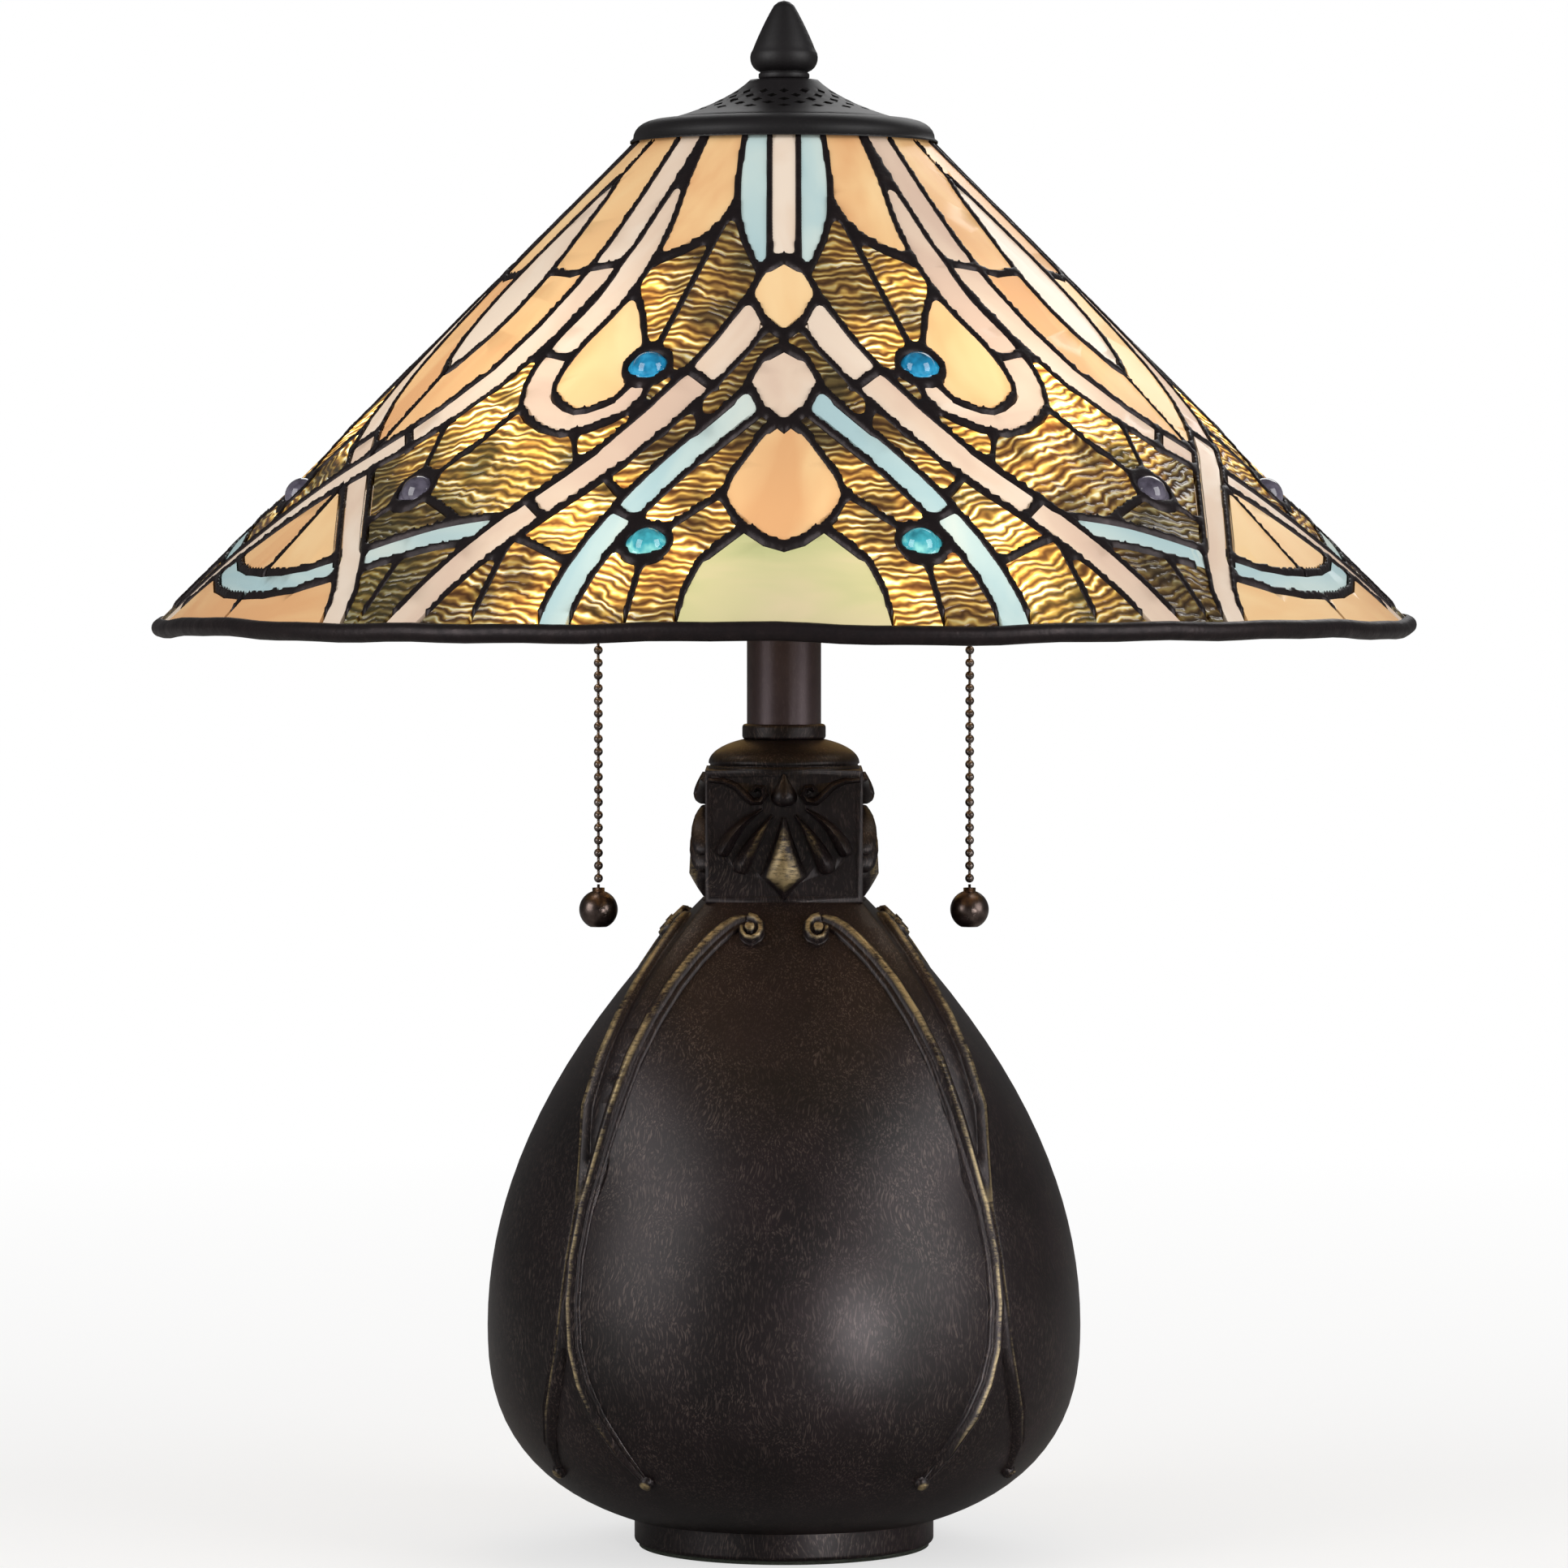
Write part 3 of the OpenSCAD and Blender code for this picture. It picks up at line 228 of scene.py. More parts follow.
def ripple_glass():
    """Cathedral glass rolled with a wavy rippled face: olive brown by day, with a painted highlight on
    the ripples' crests, and with a lamp behind it the crests are painted to glow gold over red brown.
    Ripples are about 3 mm apart."""
    made, tree = material("amber_rippled_cathedral_glass")
    pane = node(tree, "Attribute", attribute_name="pane", out="Vector")
    shade = node(tree, "Attribute", attribute_name="shade", out="Fac")
    drift = node(tree, "TexNoise", {"Vector": pane, "Scale": 1 / (11 * MM), "Detail": 2}, out="Color")
    pushed = node(tree, "VectorMath", {0: drift, 1: (10 * MM, 10 * MM, 0)}, operation="MULTIPLY")
    laid = node(tree, "VectorMath", {0: pane, 1: pushed})
    ripple = node(tree, "TexWave", {"Vector": laid, "Scale": WAVE_LENGTH / (3.1 * MM), "Distortion": 3.6,
        "Detail": 2, "Detail Scale": 1.0, "Detail Roughness": 0.55}, bands_direction="Y", out="Fac")
    # crests come and go along their length
    flow = node(tree, "Mapping", {0: pane, "Scale": (0.3, 1, 1)})
    break_up = node(tree, "TexNoise", {"Vector": flow, "Scale": 1 / (4 * MM), "Detail": 2}, out="Fac")
    strength = node(tree, "MapRange", {0: break_up, 1: 0.32, 2: 0.62, 3: 0.45, 4: 1})
    crest = node(tree, "Math", {0: ripple, 1: strength}, operation="MULTIPLY")
    # lighter on the crests and darker between them: partly the glass's own tone, partly a painted
    # highlight on the crests
    body = node(tree, "ValToRGB", {"Fac": crest},
        stops=[(0, "#33281a"), (0.5, "#554830"), (0.8, "#6c6142"), (1, "#a3966e")], out="Color")
    green = node(tree, "MapRange", {0: shade, 1: 0.5, 2: 1, 4: 0.6})
    tint = node(tree, "Mix", {0: green, 6: body, 7: linear("#414c28")}, data_type="RGBA", out=2)
    bump = node(tree, "Bump", {"Strength": 0.7, "Distance": 0.8 * MM, "Height": crest})
    # painted glow: with a bulb behind, the crests are painted to burn gold over red brown
    painted_fire = node(tree, "ValToRGB", {"Fac": crest}, stops=[(0, "#4a260e"), (0.4, "#94662a"),
        (0.68, "#dcae50"), (0.9, "#fbe69e"), (1, "#fffbe4")], out="Color")
    # the painted glow comes and goes in patches
    cloud = node(tree, "TexNoise", {"Vector": pane, "Scale": 1 / (20 * MM), "Detail": 2}, out="Fac")
    patches = node(tree, "MapRange", {0: cloud, 1: 0.38, 2: 0.66, 3: 0.25, 4: 1.7})
    # clear glass lights up only with a bulb behind it, so its painted glow falls off faster than opal's
    sharp = node(tree, "Math", {0: painted_bulb_glow(tree), 1: 1.5}, operation="POWER")
    near = node(tree, "Math", {0: sharp, 1: patches}, operation="MULTIPLY")
    shader = node(tree, "BsdfPrincipled", {"Base Color": tint, "Roughness": 0.18, "IOR": 1.52,
        "Transmission Weight": 0.25, "Normal": bump, "Emission Color": painted_fire, "Emission Strength": near})
    node(tree, "OutputMaterial", {"Surface": shader})
    return made


def jewel_glass(name, deep, middle, pale):
    """Pressed glass jewel: clear coloured glass, fire polished, with painted shade where it faces the
    sky, painted light gathered at the foot of its dome, and a painted glow from the bulbs."""
    made, tree = material(name)
    place = node(tree, "TexCoord", out="Object")
    low = node(tree, "Attribute", attribute_name="low", out="Fac")
    cloud = node(tree, "TexNoise", {"Vector": place, "Scale": 1 / (4 * MM), "Detail": 2}, out="Fac")
    # painted light and shade: paler towards the dome's foot and darker towards its top, over clouds
    cloud_and_painted_light = node(tree, "Math", {0: cloud, 1: low})
    tint = node(tree, "ValToRGB", {"Fac": cloud_and_painted_light},
        stops=[(0.15, deep), (0.5, middle), (0.9, pale)], out="Color")
    # painted glow from the bulbs
    painted_glow = node(tree, "Math", {0: painted_bulb_glow(tree), 1: 0.3}, operation="MULTIPLY")
    shader = node(tree, "BsdfPrincipled", {"Base Color": tint, "Roughness": 0.05, "IOR": 1.52,
        "Transmission Weight": 0.3, "Coat Weight": 0.6, "Coat Roughness": 0.03, "Emission Color": tint,
        "Emission Strength": painted_glow})
    node(tree, "OutputMaterial", {"Surface": shader})
    return made


def out_of_cone(p):
    """The way out of the shade's cone at a point."""
    return (Vector((p.x, p.y, 0)).normalized() + Vector((0, 0, 1))).normalized()


def loose_parts(piece):
    """The corner numbers of each loose part of a piece, in the order of their first corners along X, and
    the places of all its corners."""
    shape = bmesh.new()
    shape.from_mesh(piece.data)
    shape.verts.ensure_lookup_table()
    seen = set()
    islands = []
    for first in shape.verts:
        if first.index in seen:
            continue
        seen.add(first.index)
        island, queue = [], [first]
        while queue:
            v = queue.pop()
            island.append(v.index)
            for edge in v.link_edges:
                other = edge.other_vert(v)
                if other.index not in seen:
                    seen.add(other.index)
                    queue.append(other)
        islands.append(island)
    places = [v.co.copy() for v in shape.verts]
    shape.free()
    islands.sort(key=lambda island: tuple(round(c, 4) for c in min(tuple(places[i]) for i in island)))
    return islands, places


def widen(piece, by):
    """Moves every pane's edge out by this much, to lie under the solder. The faces that stand across the
    cone are its edge, and a corner moves so that both edges beside it move by the same."""
    shape = bmesh.new()
    shape.from_mesh(piece.data)
    shape.normal_update()
    moves = []
    for v in shape.verts:
        out = out_of_cone(v.co)
        sides = []
        for face in v.link_faces:
            if abs(face.normal.dot(out)) < 0.5 and all(face.normal.dot(side) < 0.999 for side in sides):
                sides.append(face.normal.copy())
        way = sum(sides, Vector())
        way -= out * way.dot(out)
        if way.length > 0.1:
            way.normalize()
            moves.append((v, way * by / max(0.5, min(way.dot(side) for side in sides))))
    for v, move in moves:
        v.co += move
    shape.to_mesh(piece.data)
    shape.free()


SHEET_TURN, PANE_TURN = 22, 12  # the most that streaks are off their way, in degrees
SHEET_LENGTH = 3  # m of pattern that panes are cut from, enough that no two are alike


def cut_panes(piece, along_pane):
    """Gives each pane its own stretch of sheet glass: pane holds distances along and across the sheet's
    streaks and a number of its own, and shade a level of its own. Streaks run round the shade, or
    along the pane where it is cut so, give or take a few degrees."""
    islands, places = loose_parts(piece)
    pane_data = [0.0] * (3 * len(places))
    shade_data = [0.0] * len(places)
    for island in islands:
        middle = sum((places[i] for i in island), Vector()) / len(island)
        out = Vector((middle.x, middle.y, 0)).normalized()
        round_way = Vector((-out.y, out.x, 0))
        down = (out - Vector((0, 0, 1))).normalized()
        turn = math.radians(CHANCE.uniform(-SHEET_TURN, SHEET_TURN))
        if along_pane:
            flat = [((places[i] - middle).dot(round_way), (places[i] - middle).dot(down)) for i in island]
            xx, yy, xy = (sum(p[a] * p[b] for p in flat) for a, b in ((0, 0), (1, 1), (0, 1)))
            turn = 0.5 * math.atan2(2 * xy, xx - yy) + math.radians(CHANCE.uniform(-PANE_TURN, PANE_TURN))
        along = round_way * math.cos(turn) + down * math.sin(turn)
        across = down * math.cos(turn) - round_way * math.sin(turn)
        own = CHANCE.uniform(0, SHEET_LENGTH)
        level = CHANCE.random()
        for i in island:
            pane_data[3 * i : 3 * i + 3] = [places[i].dot(along), places[i].dot(across), own]
            shade_data[i] = level
    mark(piece, "pane", "FLOAT_VECTOR", "vector", pane_data)
    mark(piece, "shade", "FLOAT", "value", shade_data)


PANE_EDGE = 0.9 * MM  # how far a pane reaches under the solder, from its edge in the bare lead


def cut_sheet(name, cad, finish, along_pane=True):
    """The panes of one kind of sheet glass."""
    panes = stands_for(name, cad)
    widen(panes, PANE_EDGE)
    cut_panes(panes, along_pane)
    paint(panes, finish)


cut_sheet("rippled_panes", "glass_ripple", ripple_glass(), along_pane=False)
cut_sheet("peach_panes", "glass_peach", opal("peach_opalescent_glass",
    [(0.33, "#e2ac78"), (0.5, "#edc28c"), (0.67, "#f3d09c")], "#ffdc98", 0.22))
cut_sheet("cream_ribbons", "glass_cream", opal("cream_opalescent_glass",
    [(0.33, "#d8bca8"), (0.5, "#e2cab4"), (0.67, "#e9d8c6")], "#ffe4b4", 0.2))
cut_sheet("aqua_ribbons", "glass_aqua", opal("aqua_opalescent_glass",
    [(0.33, "#acc8cc"), (0.5, "#c0d4d2"), (0.67, "#d3ddd5")], "#fff0cc", 0.18))
cut_sheet("green_panes", "glass_green", opal("green_opalescent_glass",
    [(0.33, "#bfc08c"), (0.5, "#cfc898"), (0.67, "#dccba4")], "#ffe490", 0.2))

JEWEL_R = 5.6 * MM
JEWEL_SPREAD = 1.12  # a jewel's widest part lies under the rolled edge of its seat
JEWEL_PAINTED_FOOT_LIGHT = 0.35  # how far painted light shifts a jewel's colour from its middle to its lower edge


def press_jewels(name, cad, shades):
    """Pressed jewels of one colour, each spread to its seat and painted paler towards its lower edge, as
    painted light.
    """
    jewels = stands_for(name, cad)
    islands, places = loose_parts(jewels)
    painted_foot_light_data = [0.0] * len(places)
    for island in islands:
        middle = sum((places[i] for i in island), Vector()) / len(island)
        out = out_of_cone(middle)
        for i in island:
            off = places[i] - middle
            height = off.dot(out)
            jewels.data.vertices[i].co = middle + (off - out * height) * JEWEL_SPREAD + out * height
            # painted light: the lower edge is marked paler and the upper darker
            painted_foot_light_data[i] = -JEWEL_PAINTED_FOOT_LIGHT * off.z / JEWEL_R
    mark(jewels, "low", "FLOAT", "value", painted_foot_light_data)
    smooth(jewels, 60)
    paint(jewels, jewel_glass(f"{name}_glass", *shades))


press_jewels("blue_pressed_jewel", "jewels_blue", ("#0c4258", "#1a7ba2", "#46b4dc"))
press_jewels("teal_pressed_jewel", "jewels_teal", ("#1b5a66", "#3d97a2", "#9fdccf"))
press_jewels("violet_pressed_jewel", "jewels_violet", ("#35303d", "#65606e", "#8d8798"))


# Lead -----------------------------------------------------------------------


def solder():
    """Copper foil soldered with tin and lead, then blackened with patina: near black with a brown
    cast, satin, rubbed a little brighter on the beads' tops."""
    made, tree = material("patinated_solder")
    place = node(tree, "TexCoord", out="Object")
    blotch = node(tree, "TexNoise", {"Vector": place, "Scale": 1 / (5 * MM), "Detail": 4,
        "Roughness": 0.6}, out="Fac")
    tint = node(tree, "ValToRGB", {"Fac": blotch},
        stops=[(0.3, "#1f181a"), (0.6, "#2b2223"), (0.8, "#3a3030")], out="Color")
    rough = node(tree, "MapRange", {0: blotch, 1: 0.3, 2: 0.8, 3: 0.5, 4: 0.3})
    grain = node(tree, "TexNoise", {"Vector": place, "Scale": 1 / (1.4 * MM), "Detail": 2}, out="Fac")
    bump = node(tree, "Bump", {"Strength": 0.35, "Distance": 0.3 * MM, "Height": grain})
    shader = node(tree, "BsdfPrincipled", {"Base Color": tint, "Metallic": 0.55,
        "Roughness": rough, "Normal": bump})
    node(tree, "OutputMaterial", {"Surface": shader})
    return made


SOLDER = solder()
BEAD_TRIM = -0.45 * MM  # the bead is rounded off and narrower than the bare lead
BEAD_GRAIN = 1.03 * MM  # the corners and joints that melt away are smaller than this
RIM_WAVES = ((0.5 * MM, 7, 1), (0.35 * MM, 12, 2.2), (0.2 * MM, 31, 0))  # height, number, start


def run_solder(sector):
    """The bead over one sector's lead lines, run together at their joints."""
    bead = stands_for(f"solder_{sector}", f"lead_{sector}")
    trim = bead.modifiers.new("trim", "DISPLACE")
    trim.strength, trim.mid_level = BEAD_TRIM, 0
    melt = bead.modifiers.new("melt", "REMESH")
    melt.mode, melt.voxel_size = "VOXEL", BEAD_GRAIN
    flow = bead.modifiers.new("flow", "SMOOTH")
    flow.factor, flow.iterations = 0.5, 6
    apply_modifiers(bead)
    smooth(bead, 80)
    paint(bead, SOLDER)


def bend_rim():
    """The channel round the rim, bent by hand, so it lies a little up and down."""
    rim = stands_for("rim_channel", "shade_rim_band")
    for v in rim.data.vertices:
        angle = math.atan2(v.co.y, v.co.x)
        v.co.z += sum(height * math.sin(number * angle + start) for height, number, start in RIM_WAVES)
    smooth(rim, 60)
    paint(rim, SOLDER)


for sector in ("front", "rear_left", "rear_right"):
    run_solder(sector)
bend_rim()
smooth_copy("top_channel", "shade_top_band", SOLDER, 60)


# Bronze ---------------------------------------------------------------------


HAIR_WAYS = ((20, 48, 0), (-52, 15, 60), (70, -25, 110), (12, -60, 40))  # in degrees about each axis


def bronze(name, dark, brown, hair_tint, hair_share, roughness, metallic=0.45):
    """Oil-rubbed bronze finish on a casting: near-black brown lacquer with fine curling gold-brown hairs
    brushed in, a third of a millimetre wide and 2 mm long, and gold dry-brushed where it is marked."""
    made, tree = material(name)
    place = node(tree, "TexCoord", out="Object")
    cloud = node(tree, "TexNoise", {"Vector": place, "Scale": 1 / (30 * MM), "Detail": 4}, out="Fac")
    base = node(tree, "ValToRGB", {"Fac": cloud}, stops=[(0.35, dark), (0.65, brown)], out="Color")
    # hairs curl, because the space they are drawn in bends by up to 8 mm every 15 mm
    curl = node(tree, "TexNoise", {"Vector": place, "Scale": 1 / (15 * MM), "Detail": 1}, out="Color")
    bend = node(tree, "VectorMath", {0: curl, 1: (8 * MM, 8 * MM, 8 * MM)}, operation="MULTIPLY")
    bent = node(tree, "VectorMath", {0: place, 1: bend})
    hairs = None
    for turn in HAIR_WAYS:
        laid = node(tree, "Mapping", {0: bent, "Rotation": [math.radians(a) for a in turn],
            "Scale": (1, 1, 0.17)})
        stroke = node(tree, "TexNoise", {"Vector": laid, "Scale": 1 / (0.6 * MM), "Detail": 1,
            "Roughness": 0.4}, out="Fac")
        hair = node(tree, "MapRange", {0: stroke, 1: 0.62, 2: 0.74})
        hairs = hair if hairs is None else node(tree, "Math", {0: hairs, 1: hair}, operation="MAXIMUM")
    # hairs lie thick in some places and thin in others
    patch = node(tree, "TexNoise", {"Vector": place, "Scale": 1 / (16 * MM), "Detail": 2}, out="Fac")
    thick = node(tree, "MapRange", {0: patch, 1: 0.35, 2: 0.65, 3: 0.35 * hair_share, 4: hair_share})
    share = node(tree, "Math", {0: hairs, 1: thick}, operation="MULTIPLY")
    haired = node(tree, "Mix", {0: share, 6: base, 7: linear(hair_tint)}, data_type="RGBA", out=2)
    rub = node(tree, "Attribute", attribute_name="rub", out="Fac")
    crest = node(tree, "MapRange", {0: rub, 1: 0.5, 2: 1})
    level = node(tree, "Mapping", {0: place, "Scale": (0.28, 0.28, 1)})
    brush = node(tree, "TexNoise", {"Vector": level, "Scale": 1 / (0.8 * MM), "Detail": 3,
        "Roughness": 0.65}, out="Fac")
    worn = node(tree, "TexNoise", {"Vector": place, "Scale": 1 / (14 * MM), "Detail": 3}, out="Fac")
    thin = node(tree, "Math", {0: brush, 1: worn})
    broken = node(tree, "MapRange", {0: thin, 1: 0.84, 2: 1.16})
    gold_share = node(tree, "Math", {0: crest, 1: broken}, operation="MULTIPLY")
    tint = node(tree, "Mix", {0: gold_share, 6: haired, 7: linear("#a08d66")}, data_type="RGBA", out=2)
    grain = node(tree, "TexNoise", {"Vector": place, "Scale": 1 / (0.9 * MM), "Detail": 3}, out="Fac")
    bump = node(tree, "Bump", {"Strength": 0.2, "Distance": 0.12 * MM, "Height": grain})
    shader = node(tree, "BsdfPrincipled", {"Base Color": tint, "Metallic": metallic,
        "Roughness": roughness, "Normal": bump})
    node(tree, "OutputMaterial", {"Surface": shader})
    return made


def painted_shade_hollow():
    """Painted shade for the inside of the cap and the walls of its diamonds: flat black."""
    made, tree = material("painted_shade_inside")
    place = node(tree, "TexCoord", out="Object")
    painted_shade_cloud = node(tree, "TexNoise", {"Vector": place, "Scale": 1 / (6 * MM), "Detail": 3}, out="Fac")
    tint = node(tree, "ValToRGB", {"Fac": painted_shade_cloud}, stops=[(0.3, "#060505"), (0.7, "#100e0d")], out="Color")
    shader = node(tree, "BsdfPrincipled", {"Base Color": tint, "Roughness": 0.9,
        "Specular IOR Level": 0.1})
    node(tree, "OutputMaterial", {"Surface": shader})
    return made


BASE_BRONZE = bronze("oil_rubbed_bronze", "#161011", "#21181a", "#63554f", 0.5, 0.4)
COLUMN_BRONZE = bronze("brown_lacquered_tube", "#42363a", "#524649", "#665a5c", 0.25, 0.36)
CAP_BRONZE = bronze("black_bronze_sheet", "#100e0f", "#1a1618", "#2c2728", 0.3, 0.52, 0.1)

smooth_copy("foot_casting", "base_foot", BASE_BRONZE)
smooth_copy("dome_casting", "neck_dome", BASE_BRONZE)
smooth_copy("collar_turning", "column_collar", BASE_BRONZE)
smooth_copy("column", "column_tube", COLUMN_BRONZE)

# The heat cap: diamonds in rings round it, and a roof from the finial's seat to a crease and a lip
RINGS, HOLES, FIRST_RING_R, RING_STEP = 5, 16, 16.4 * MM, 2.5 * MM
DIAMOND_GROWTH = 1.28
ROOF_START_R, CREASE_R, LIP_R = 13 * MM, 34 * MM, 48.6 * MM
CREASE_SHIFT = 2.8 * MM  # how far the crease is pressed out and down
UPRIGHT = 0.15  # the most that the normal of an upright face can rise
WALLS_FROM_R, WALLS_TO_R, PAINTED_SHADE_TO_R = 14.4 * MM, 29 * MM, 31 * MM  # walls of diamonds, and those painted with shade


def diamonds():
    """The middles of the cap's diamonds, each ring turned by half a step from the last."""
    polar = [(FIRST_RING_R + ring * RING_STEP, math.tau / HOLES * (i + ring / 2)) for ring in range(RINGS)
        for i in range(HOLES)]
    return [Vector((r * math.cos(angle), r * math.sin(angle))) for r, angle in polar]


def open_diamonds(cap):
    """Punches the cap's diamonds a little larger."""
    middles = diamonds()
    walls = set()
    for face in cap.data.polygons:
        r = face.center.xy.length
        if abs(face.normal.z) < UPRIGHT and WALLS_FROM_R < r < WALLS_TO_R:
            walls.update(face.vertices)
    for i in walls:
        v = cap.data.vertices[i]
        middle = min(middles, key=lambda m: (m - v.co.xy).length)
        v.co.xy = middle + (v.co.xy - middle) * DIAMOND_GROWTH


def press_crease(cap):
    """Presses the cap's crease further out and down, and less so to the roof's start and the lip."""
    for v in cap.data.vertices:
        r = v.co.xy.length
        if not ROOF_START_R < r < LIP_R:
            continue
        if r < CREASE_R:
            share = (r - ROOF_START_R) / (CREASE_R - ROOF_START_R)
        else:
            share = ((LIP_R - r) / (LIP_R - CREASE_R)) ** 1.5
        v.co.xy *= 1 + share * CREASE_SHIFT / r
        v.co.z -= share * CREASE_SHIFT


def press_cap():
    """The heat cap, with painted shade in its diamonds and on its inside."""
    cap = stands_for("pierced_heat_cap", "heat_cap")
    open_diamonds(cap)
    press_crease(cap)
    smooth(cap, 35)
    paint(cap, CAP_BRONZE)
    # painted shade: the cap's inside and its diamonds' walls are given flat black
    cap.data.materials.append(painted_shade_hollow())
    for face in cap.data.polygons:
        inside = face.normal.dot(out_of_cone(face.center)) < -0.3
        if inside or (abs(face.normal.z) < UPRIGHT and face.center.xy.length < PAINTED_SHADE_TO_R):
            face.material_index = 1


NECK_RING = 3 * MM  # height of the ring under the finial's bud
BUD_DROP = 1.4 * MM  # how much lower the bud is fullest than a plain one


def turn_finial():
    """The finial: a bud, fullest near its foot."""
    finial = stands_for("bud_finial", "finial")
    foot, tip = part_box("finial")[0][2] + NECK_RING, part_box("finial")[1][2]
    for v in finial.data.vertices:
        up = (v.co.z - foot) / (tip - foot)
        if 0 < up < 1:
            v.co.z -= BUD_DROP * math.sin(math.pi * up)
    smooth(finial, 50)
    paint(finial, CAP_BRONZE)


press_cap()
turn_finial()


# Urn and neck block ---------------------------------------------------------


def rub_gold(piece, share_at):
    """Marks where the gold is rubbed on: share_at gives how much of it a point takes, up to 1."""
    marks = [max(0.0, min(1.0, share_at(v.co))) for v in piece.data.vertices]
    mark(piece, "rub", "FLOAT", "value", marks)


# The urn's outline: a squared-off bowl to the belly, a slim parabola to the neck, and four panels that
# part from the round above PANEL_Z, each turned about an axis that lies up to PANEL_AXIS behind
FOOT_Z, BELLY_Z, PANEL_Z, SHOULDER_Z = 10.4 * MM, 72 * MM, 125 * MM, 209.6 * MM
FOOT_R, BELLY_R, NECK_R, PANEL_AXIS = 52 * MM, 96 * MM, 26.6 * MM, 130 * MM
BOWL_POWER = 2.5
BOWL_DEPTH = (BELLY_Z - FOOT_Z) / (1 - (FOOT_R / BELLY_R) ** BOWL_POWER) ** (1 / BOWL_POWER)
NECK_RISE = (SHOULDER_Z - BELLY_Z) / math.sqrt(1 - NECK_R / BELLY_R)
PANEL_EASE = 0.16  # of the panels' height, in which the light sees them grow out of the bowl
SKIN = 0.3 * MM  # what stands out less than this is the urn's plain skin
SLOPE_STEP = 0.2 * MM  # over which the skin's slope is measured
LEDGE_HALF, LEDGE_RISE = 0.1 * MM, 0.4 * MM  # where the ledge under the panels is looked for
RIB_CREST, CREST_EDGE, CREST_GOLD = 2.4 * MM, 0.35 * MM, 0.8  # only the ribs' crests catch the gold


def above_urn(p, ease=0):
    """How far a point stands out from the urn's plain skin. The panels turn out of the round from
    PANEL_Z on, or with some ease gently from a little below it."""
    if p.z < BELLY_Z:
        r = BELLY_R * (1 - min(1, (BELLY_Z - p.z) / BOWL_DEPTH) ** BOWL_POWER) ** (1 / BOWL_POWER)
    else:
        r = BELLY_R * (1 - ((p.z - BELLY_Z) / NECK_RISE) ** 2)
    up = (p.z - PANEL_Z) / (SHOULDER_Z - PANEL_Z)
    turned = max(0, up) if abs(up) >= ease else (up + ease) ** 2 / (4 * ease)
    axis = PANEL_AXIS * turned
    angle = math.atan2(p.y, p.x)
    angle -= math.pi / 2 * round(angle / (math.pi / 2))
    skin = math.sqrt(max(0, (r + axis) ** 2 - (axis * math.sin(angle)) ** 2)) - axis * math.cos(angle)
    return math.hypot(p.x, p.y) - skin


def file_ledge(piece):
    """Files off the ledge of a quarter of a millimetre where the round bowl meets the panels."""
    for v in piece.data.vertices:
        rise = above_urn(v.co)
        if abs(v.co.z - PANEL_Z) < LEDGE_HALF and abs(rise) < LEDGE_RISE:
            v.co.xy *= 1 - rise / v.co.xy.length


def fair_skin(piece):
    """Lights the urn's skin by its true curves, with no sign of facets or of where the panels start."""
    mesh = piece.data
    heights = [above_urn(v.co) for v in mesh.vertices]
    normals = [corner.vector.copy() for corner in mesh.corner_normals]
    steps = [Vector(way) * SLOPE_STEP for way in ((1, 0, 0), (0, 1, 0), (0, 0, 1))]
    for face in mesh.polygons:
        if any(abs(heights[i]) > SKIN for i in face.vertices):
            continue
        for corner in face.loop_indices:
            p = mesh.vertices[mesh.loops[corner].vertex_index].co.lerp(face.center, 0.02)
            out = Vector([above_urn(p + a, PANEL_EASE) - above_urn(p - a, PANEL_EASE) for a in steps])
            out.normalize()
            if out.dot(face.normal) > 0.8:
                normals[corner] = out
    mesh.normals_split_custom_set(normals)


def cast_urn():
    """The urn, with its ribs rubbed."""
    urn = stands_for("urn_casting", "vase_body")
    file_ledge(urn)
    rub_gold(urn, lambda p: CREST_GOLD * (above_urn(p) - RIB_CREST) / CREST_EDGE)
    smooth(urn, 50)
    fair_skin(urn)
    paint(urn, BASE_BRONZE)


BLOCK_HALF = 25.25 * MM
RELIEF_FOOT, RELIEF_RISE = 1 * MM, 3 * MM  # gold starts this high on the relief, and is full so much on
SPEAR_GOLD, SPEAR_FADE, PETAL_GOLD = 1.6, 10 * MM, 0.35  # it falls by 1 over SPEAR_FADE to the side
FAN_TOP = SHOULDER_Z + 29 * MM
BRANCH_GOLD = 0.45  # of the bud and the branches above the fan


def gold_on_block(p):
    """The spearhead in the middle takes the most, the outer petals little."""
    rise = max(abs(p.x), abs(p.y)) - BLOCK_HALF
    aside = min(abs(p.x), abs(p.y))
    share = max(PETAL_GOLD, min(1, SPEAR_GOLD - aside / SPEAR_FADE))
    if p.z > FAN_TOP:
        share *= BRANCH_GOLD
    return share * (rise - RELIEF_FOOT) / RELIEF_RISE


def cast_block():
    """The neck block, with its relief rubbed."""
    block = stands_for("neck_block_casting", "neck_block")
    rub_gold(block, gold_on_block)
    smooth(block, 28)
    paint(block, BASE_BRONZE)


cast_urn()
cast_block()


# Chains, sockets and what is inside -----------------------------------------


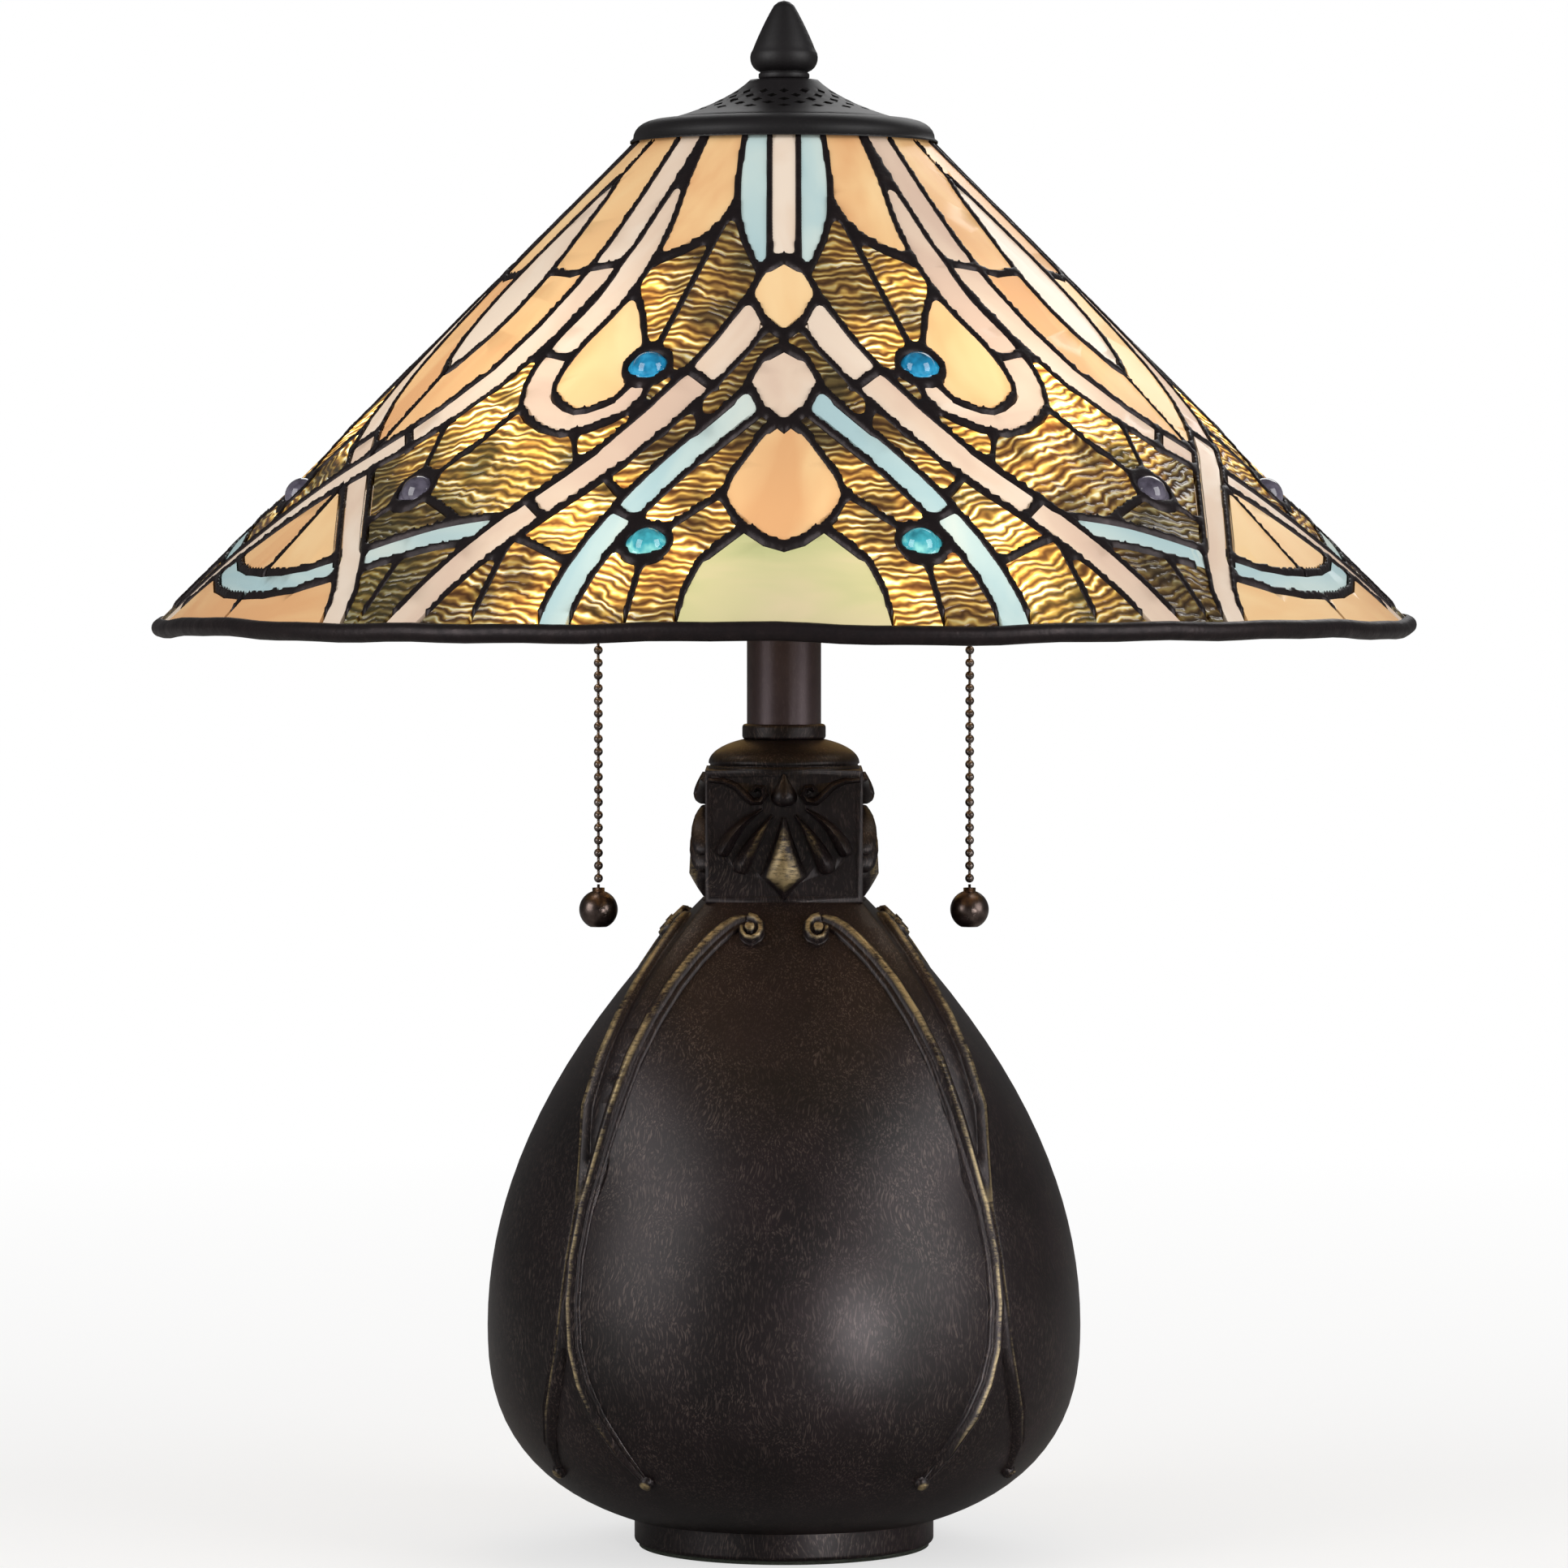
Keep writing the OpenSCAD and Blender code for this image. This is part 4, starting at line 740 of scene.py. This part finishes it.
def fitting(name, dark, pale, patch_mm, roughness, metallic=1):
    """The finish of a small fitting: plated or bare metal with a cloudy patina and a fine grain from
    tumbling or brushing, or with metallic at 0 a moulded or felted one, cloudy in the same way."""
    made, tree = material(name)
    place = node(tree, "TexCoord", out="Object")
    cloud = node(tree, "TexNoise", {"Vector": place, "Scale": 1 / (patch_mm * MM), "Detail": 4,
        "Roughness": 0.6}, out="Fac")
    tint = node(tree, "ValToRGB", {"Fac": cloud}, stops=[(0.3, dark), (0.7, pale)], out="Color")
    rough = node(tree, "MapRange", {0: cloud, 1: 0.3, 2: 0.7, 3: roughness + 0.08, 4: roughness})
    grain = node(tree, "TexNoise", {"Vector": place, "Scale": 1 / (0.5 * MM), "Detail": 2}, out="Fac")
    bump = node(tree, "Bump", {"Strength": 0.12, "Distance": 0.06 * MM, "Height": grain})
    shader = node(tree, "BsdfPrincipled", {"Base Color": tint, "Metallic": metallic,
        "Roughness": rough, "Normal": bump})
    node(tree, "OutputMaterial", {"Surface": shader})
    return made


def lit_bulb():
    """Frosted glass of a lit bulb: an even warm white."""
    made, tree = material("frosted_bulb_glass")
    place = node(tree, "TexCoord", out="Object")
    frost = node(tree, "TexNoise", {"Vector": place, "Scale": 1 / (12 * MM), "Detail": 2}, out="Fac")
    tint = node(tree, "ValToRGB", {"Fac": frost}, stops=[(0.3, "#fff2de"), (0.7, "#fff9ee")], out="Color")
    shader = node(tree, "BsdfPrincipled", {"Base Color": tint, "Roughness": 0.5,
        "Emission Color": tint, "Emission Strength": 3})
    node(tree, "OutputMaterial", {"Surface": shader})
    return made


for finish, cads in (
    # plated, then browned in a bath and tumbled: brown in the hollows, grey where the beads rub
    (fitting("antique_bronze_bead_chain", "#564b47", "#978c85", 3, 0.3), both("pull_chain")),
    (fitting("dark_bronze_ball", "#473c39", "#776963", 4, 0.27), both("ball_pull")),
    # drawn brass, dull from heat round the bulbs and brighter where it is threaded or turned
    (fitting("tarnished_socket_brass", "#5e4a22", "#8d7338", 14, 0.34), both("socket_cap",
        "socket_shell", "chain_guide", "pull_lever")),
    (fitting("screw_shell_brass", "#a88a44", "#cbb066", 10, 0.3), both("screw_shell")),
    (fitting("machined_brass", "#7c6a3c", "#a89258", 10, 0.32), ["cluster_body", "cluster_nipples",
        "riser_rod"]),
    # grey plate with faint clouds
    (fitting("zinc_plated_steel", "#85817a", "#a8a49c", 12, 0.34), ["lamp_pipe", "bottom_washer",
        "bottom_nut", "cluster_nut", "spider_nut", "shade_spider"]),
    (fitting("bulb_cap_aluminium", "#a7a49c", "#c4c1b8", 8, 0.32), both("bulb_base")),
    # moulded black-brown resin and rubber, with a soft sheen and none
    (fitting("phenolic_switch_body", "#1f1a17", "#30281f", 9, 0.5, 0), both("switch_body")),
    (fitting("black_rubber_grommet", "#151414", "#232121", 4, 0.7, 0), ["cord_grommet"]),
    (lit_bulb(), both("bulb_glass")),
):
    for cad in cads:
        smooth_copy(f"{cad}_finished", cad, finish)
coat("ballast_weight", fitting("rough_cast_iron", "#3a3633", "#57524d", 6, 0.7, 0.8))
coat("felt_pad", fitting("green_black_felt", "#1b1f18", "#2a2e25", 1.2, 0.95, 0))


# Stage ----------------------------------------------------------------------

FLOOR_SIZE, FLOOR_DROP = 14, 0.1 * MM  # the floor is a hair under the felt
FADE_START, FADE_END = 0.3, 1.4  # from the lamp's axis, where the floor turns from paper to plain white


def lay_floor():
    """White paper, which keeps the lamp's shadow near it and fades to plain white further out."""
    bpy.ops.object.select_all(action="DESELECT")
    bpy.ops.mesh.primitive_plane_add(size=FLOOR_SIZE, location=(0, 0, -FLOOR_DROP))
    floor = bpy.context.object
    floor.name = "floor"
    made, tree = material("white_paper_floor")
    place = node(tree, "TexCoord", out="Object")
    far = node(tree, "VectorMath", {0: place}, operation="LENGTH", out="Value")
    fade = node(tree, "MapRange", {0: far, 1: FADE_START, 2: FADE_END, 3: 0.62, 4: 1})
    eye = node(tree, "LightPath", out="Is Camera Ray")
    share = node(tree, "Math", {0: fade, 1: eye}, operation="MULTIPLY")
    # white to the eye, and grey to the lamp, so that little light comes back up
    shade = node(tree, "Mix", {0: eye, 6: linear("#8e8c8a"), 7: linear("#f4f3f1")},
        data_type="RGBA", out=2)
    paper = node(tree, "BsdfPrincipled", {"Base Color": shade, "Roughness": 0.8})
    white = node(tree, "Emission", {"Color": (1, 1, 1, 1), "Strength": 1.0})
    shader = node(tree, "MixShader", {0: share, 1: paper, 2: white})
    node(tree, "OutputMaterial", {"Surface": shader})
    paint(floor, made)


def paint_world():
    """White to the eye and through glass, and dimmer as light and in reflections."""
    world = bpy.data.worlds.new("studio")
    bpy.context.scene.world = world
    world.use_nodes = True
    tree = world.node_tree
    tree.nodes.clear()
    eye = node(tree, "LightPath", out="Is Camera Ray")
    through = node(tree, "LightPath", out="Is Transmission Ray")
    mirrored = node(tree, "LightPath", out="Is Glossy Ray")
    seen = node(tree, "Math", {0: eye, 1: through}, operation="MAXIMUM")
    plain, dim, white = (node(tree, "Background", {"Color": (1, 1, 1, 1), "Strength": strength})
        for strength in (0.5, 0.1, 1.0))
    sky = node(tree, "MixShader", {0: mirrored, 1: plain, 2: dim})
    sky = node(tree, "MixShader", {0: seen, 1: sky, 2: white})
    node(tree, "OutputWorld", {"Surface": sky})


def stand(name, data, place, target):
    """Puts a light or camera at a place, facing its target, and returns it."""
    made = bpy.data.objects.new(name, data)
    made.location = place
    made.rotation_euler = (Vector(target) - Vector(place)).to_track_quat("-Z", "Y").to_euler()
    bpy.context.scene.collection.objects.link(made)
    return made


def softbox(name, place, target, width, height, watts, fan=180):
    """An area light. A grid on its front can hold its fan of light to fewer degrees."""
    light = bpy.data.lights.new(name, "AREA")
    light.shape, light.size, light.size_y, light.energy = "RECTANGLE", width, height, watts
    light.spread = math.radians(fan)
    stand(name, light, place, target)


lay_floor()
paint_world()
softbox("key", (-1.85, -1.25, 0.98), (0, 0, 0.2), 1.4, 1.9, 29)
softbox("fill", (1.9, -1.15, 0.98), (0, 0, 0.2), 1.4, 1.9, 31)
softbox("low_front", (0.6, -1.08, 0.09), (0, 0, 0.07), 0.26, 0.18, 0.09, 18)
softbox("back", (0.3, 1.6, 1.4), (0, 0, 0.3), 1.4, 0.8, 9)

# A long lens, 2.2 m away at the height of the shade's lower half
EYE = (0, -2.202, 0.325)
AIM = (0, 0, 0.2466)
lens = bpy.data.cameras.new("camera")
lens.lens, lens.sensor_width = 156.5, 36
bpy.context.scene.camera = stand("camera", lens, EYE, AIM)
bpy.context.scene.view_settings.view_transform = "Standard"
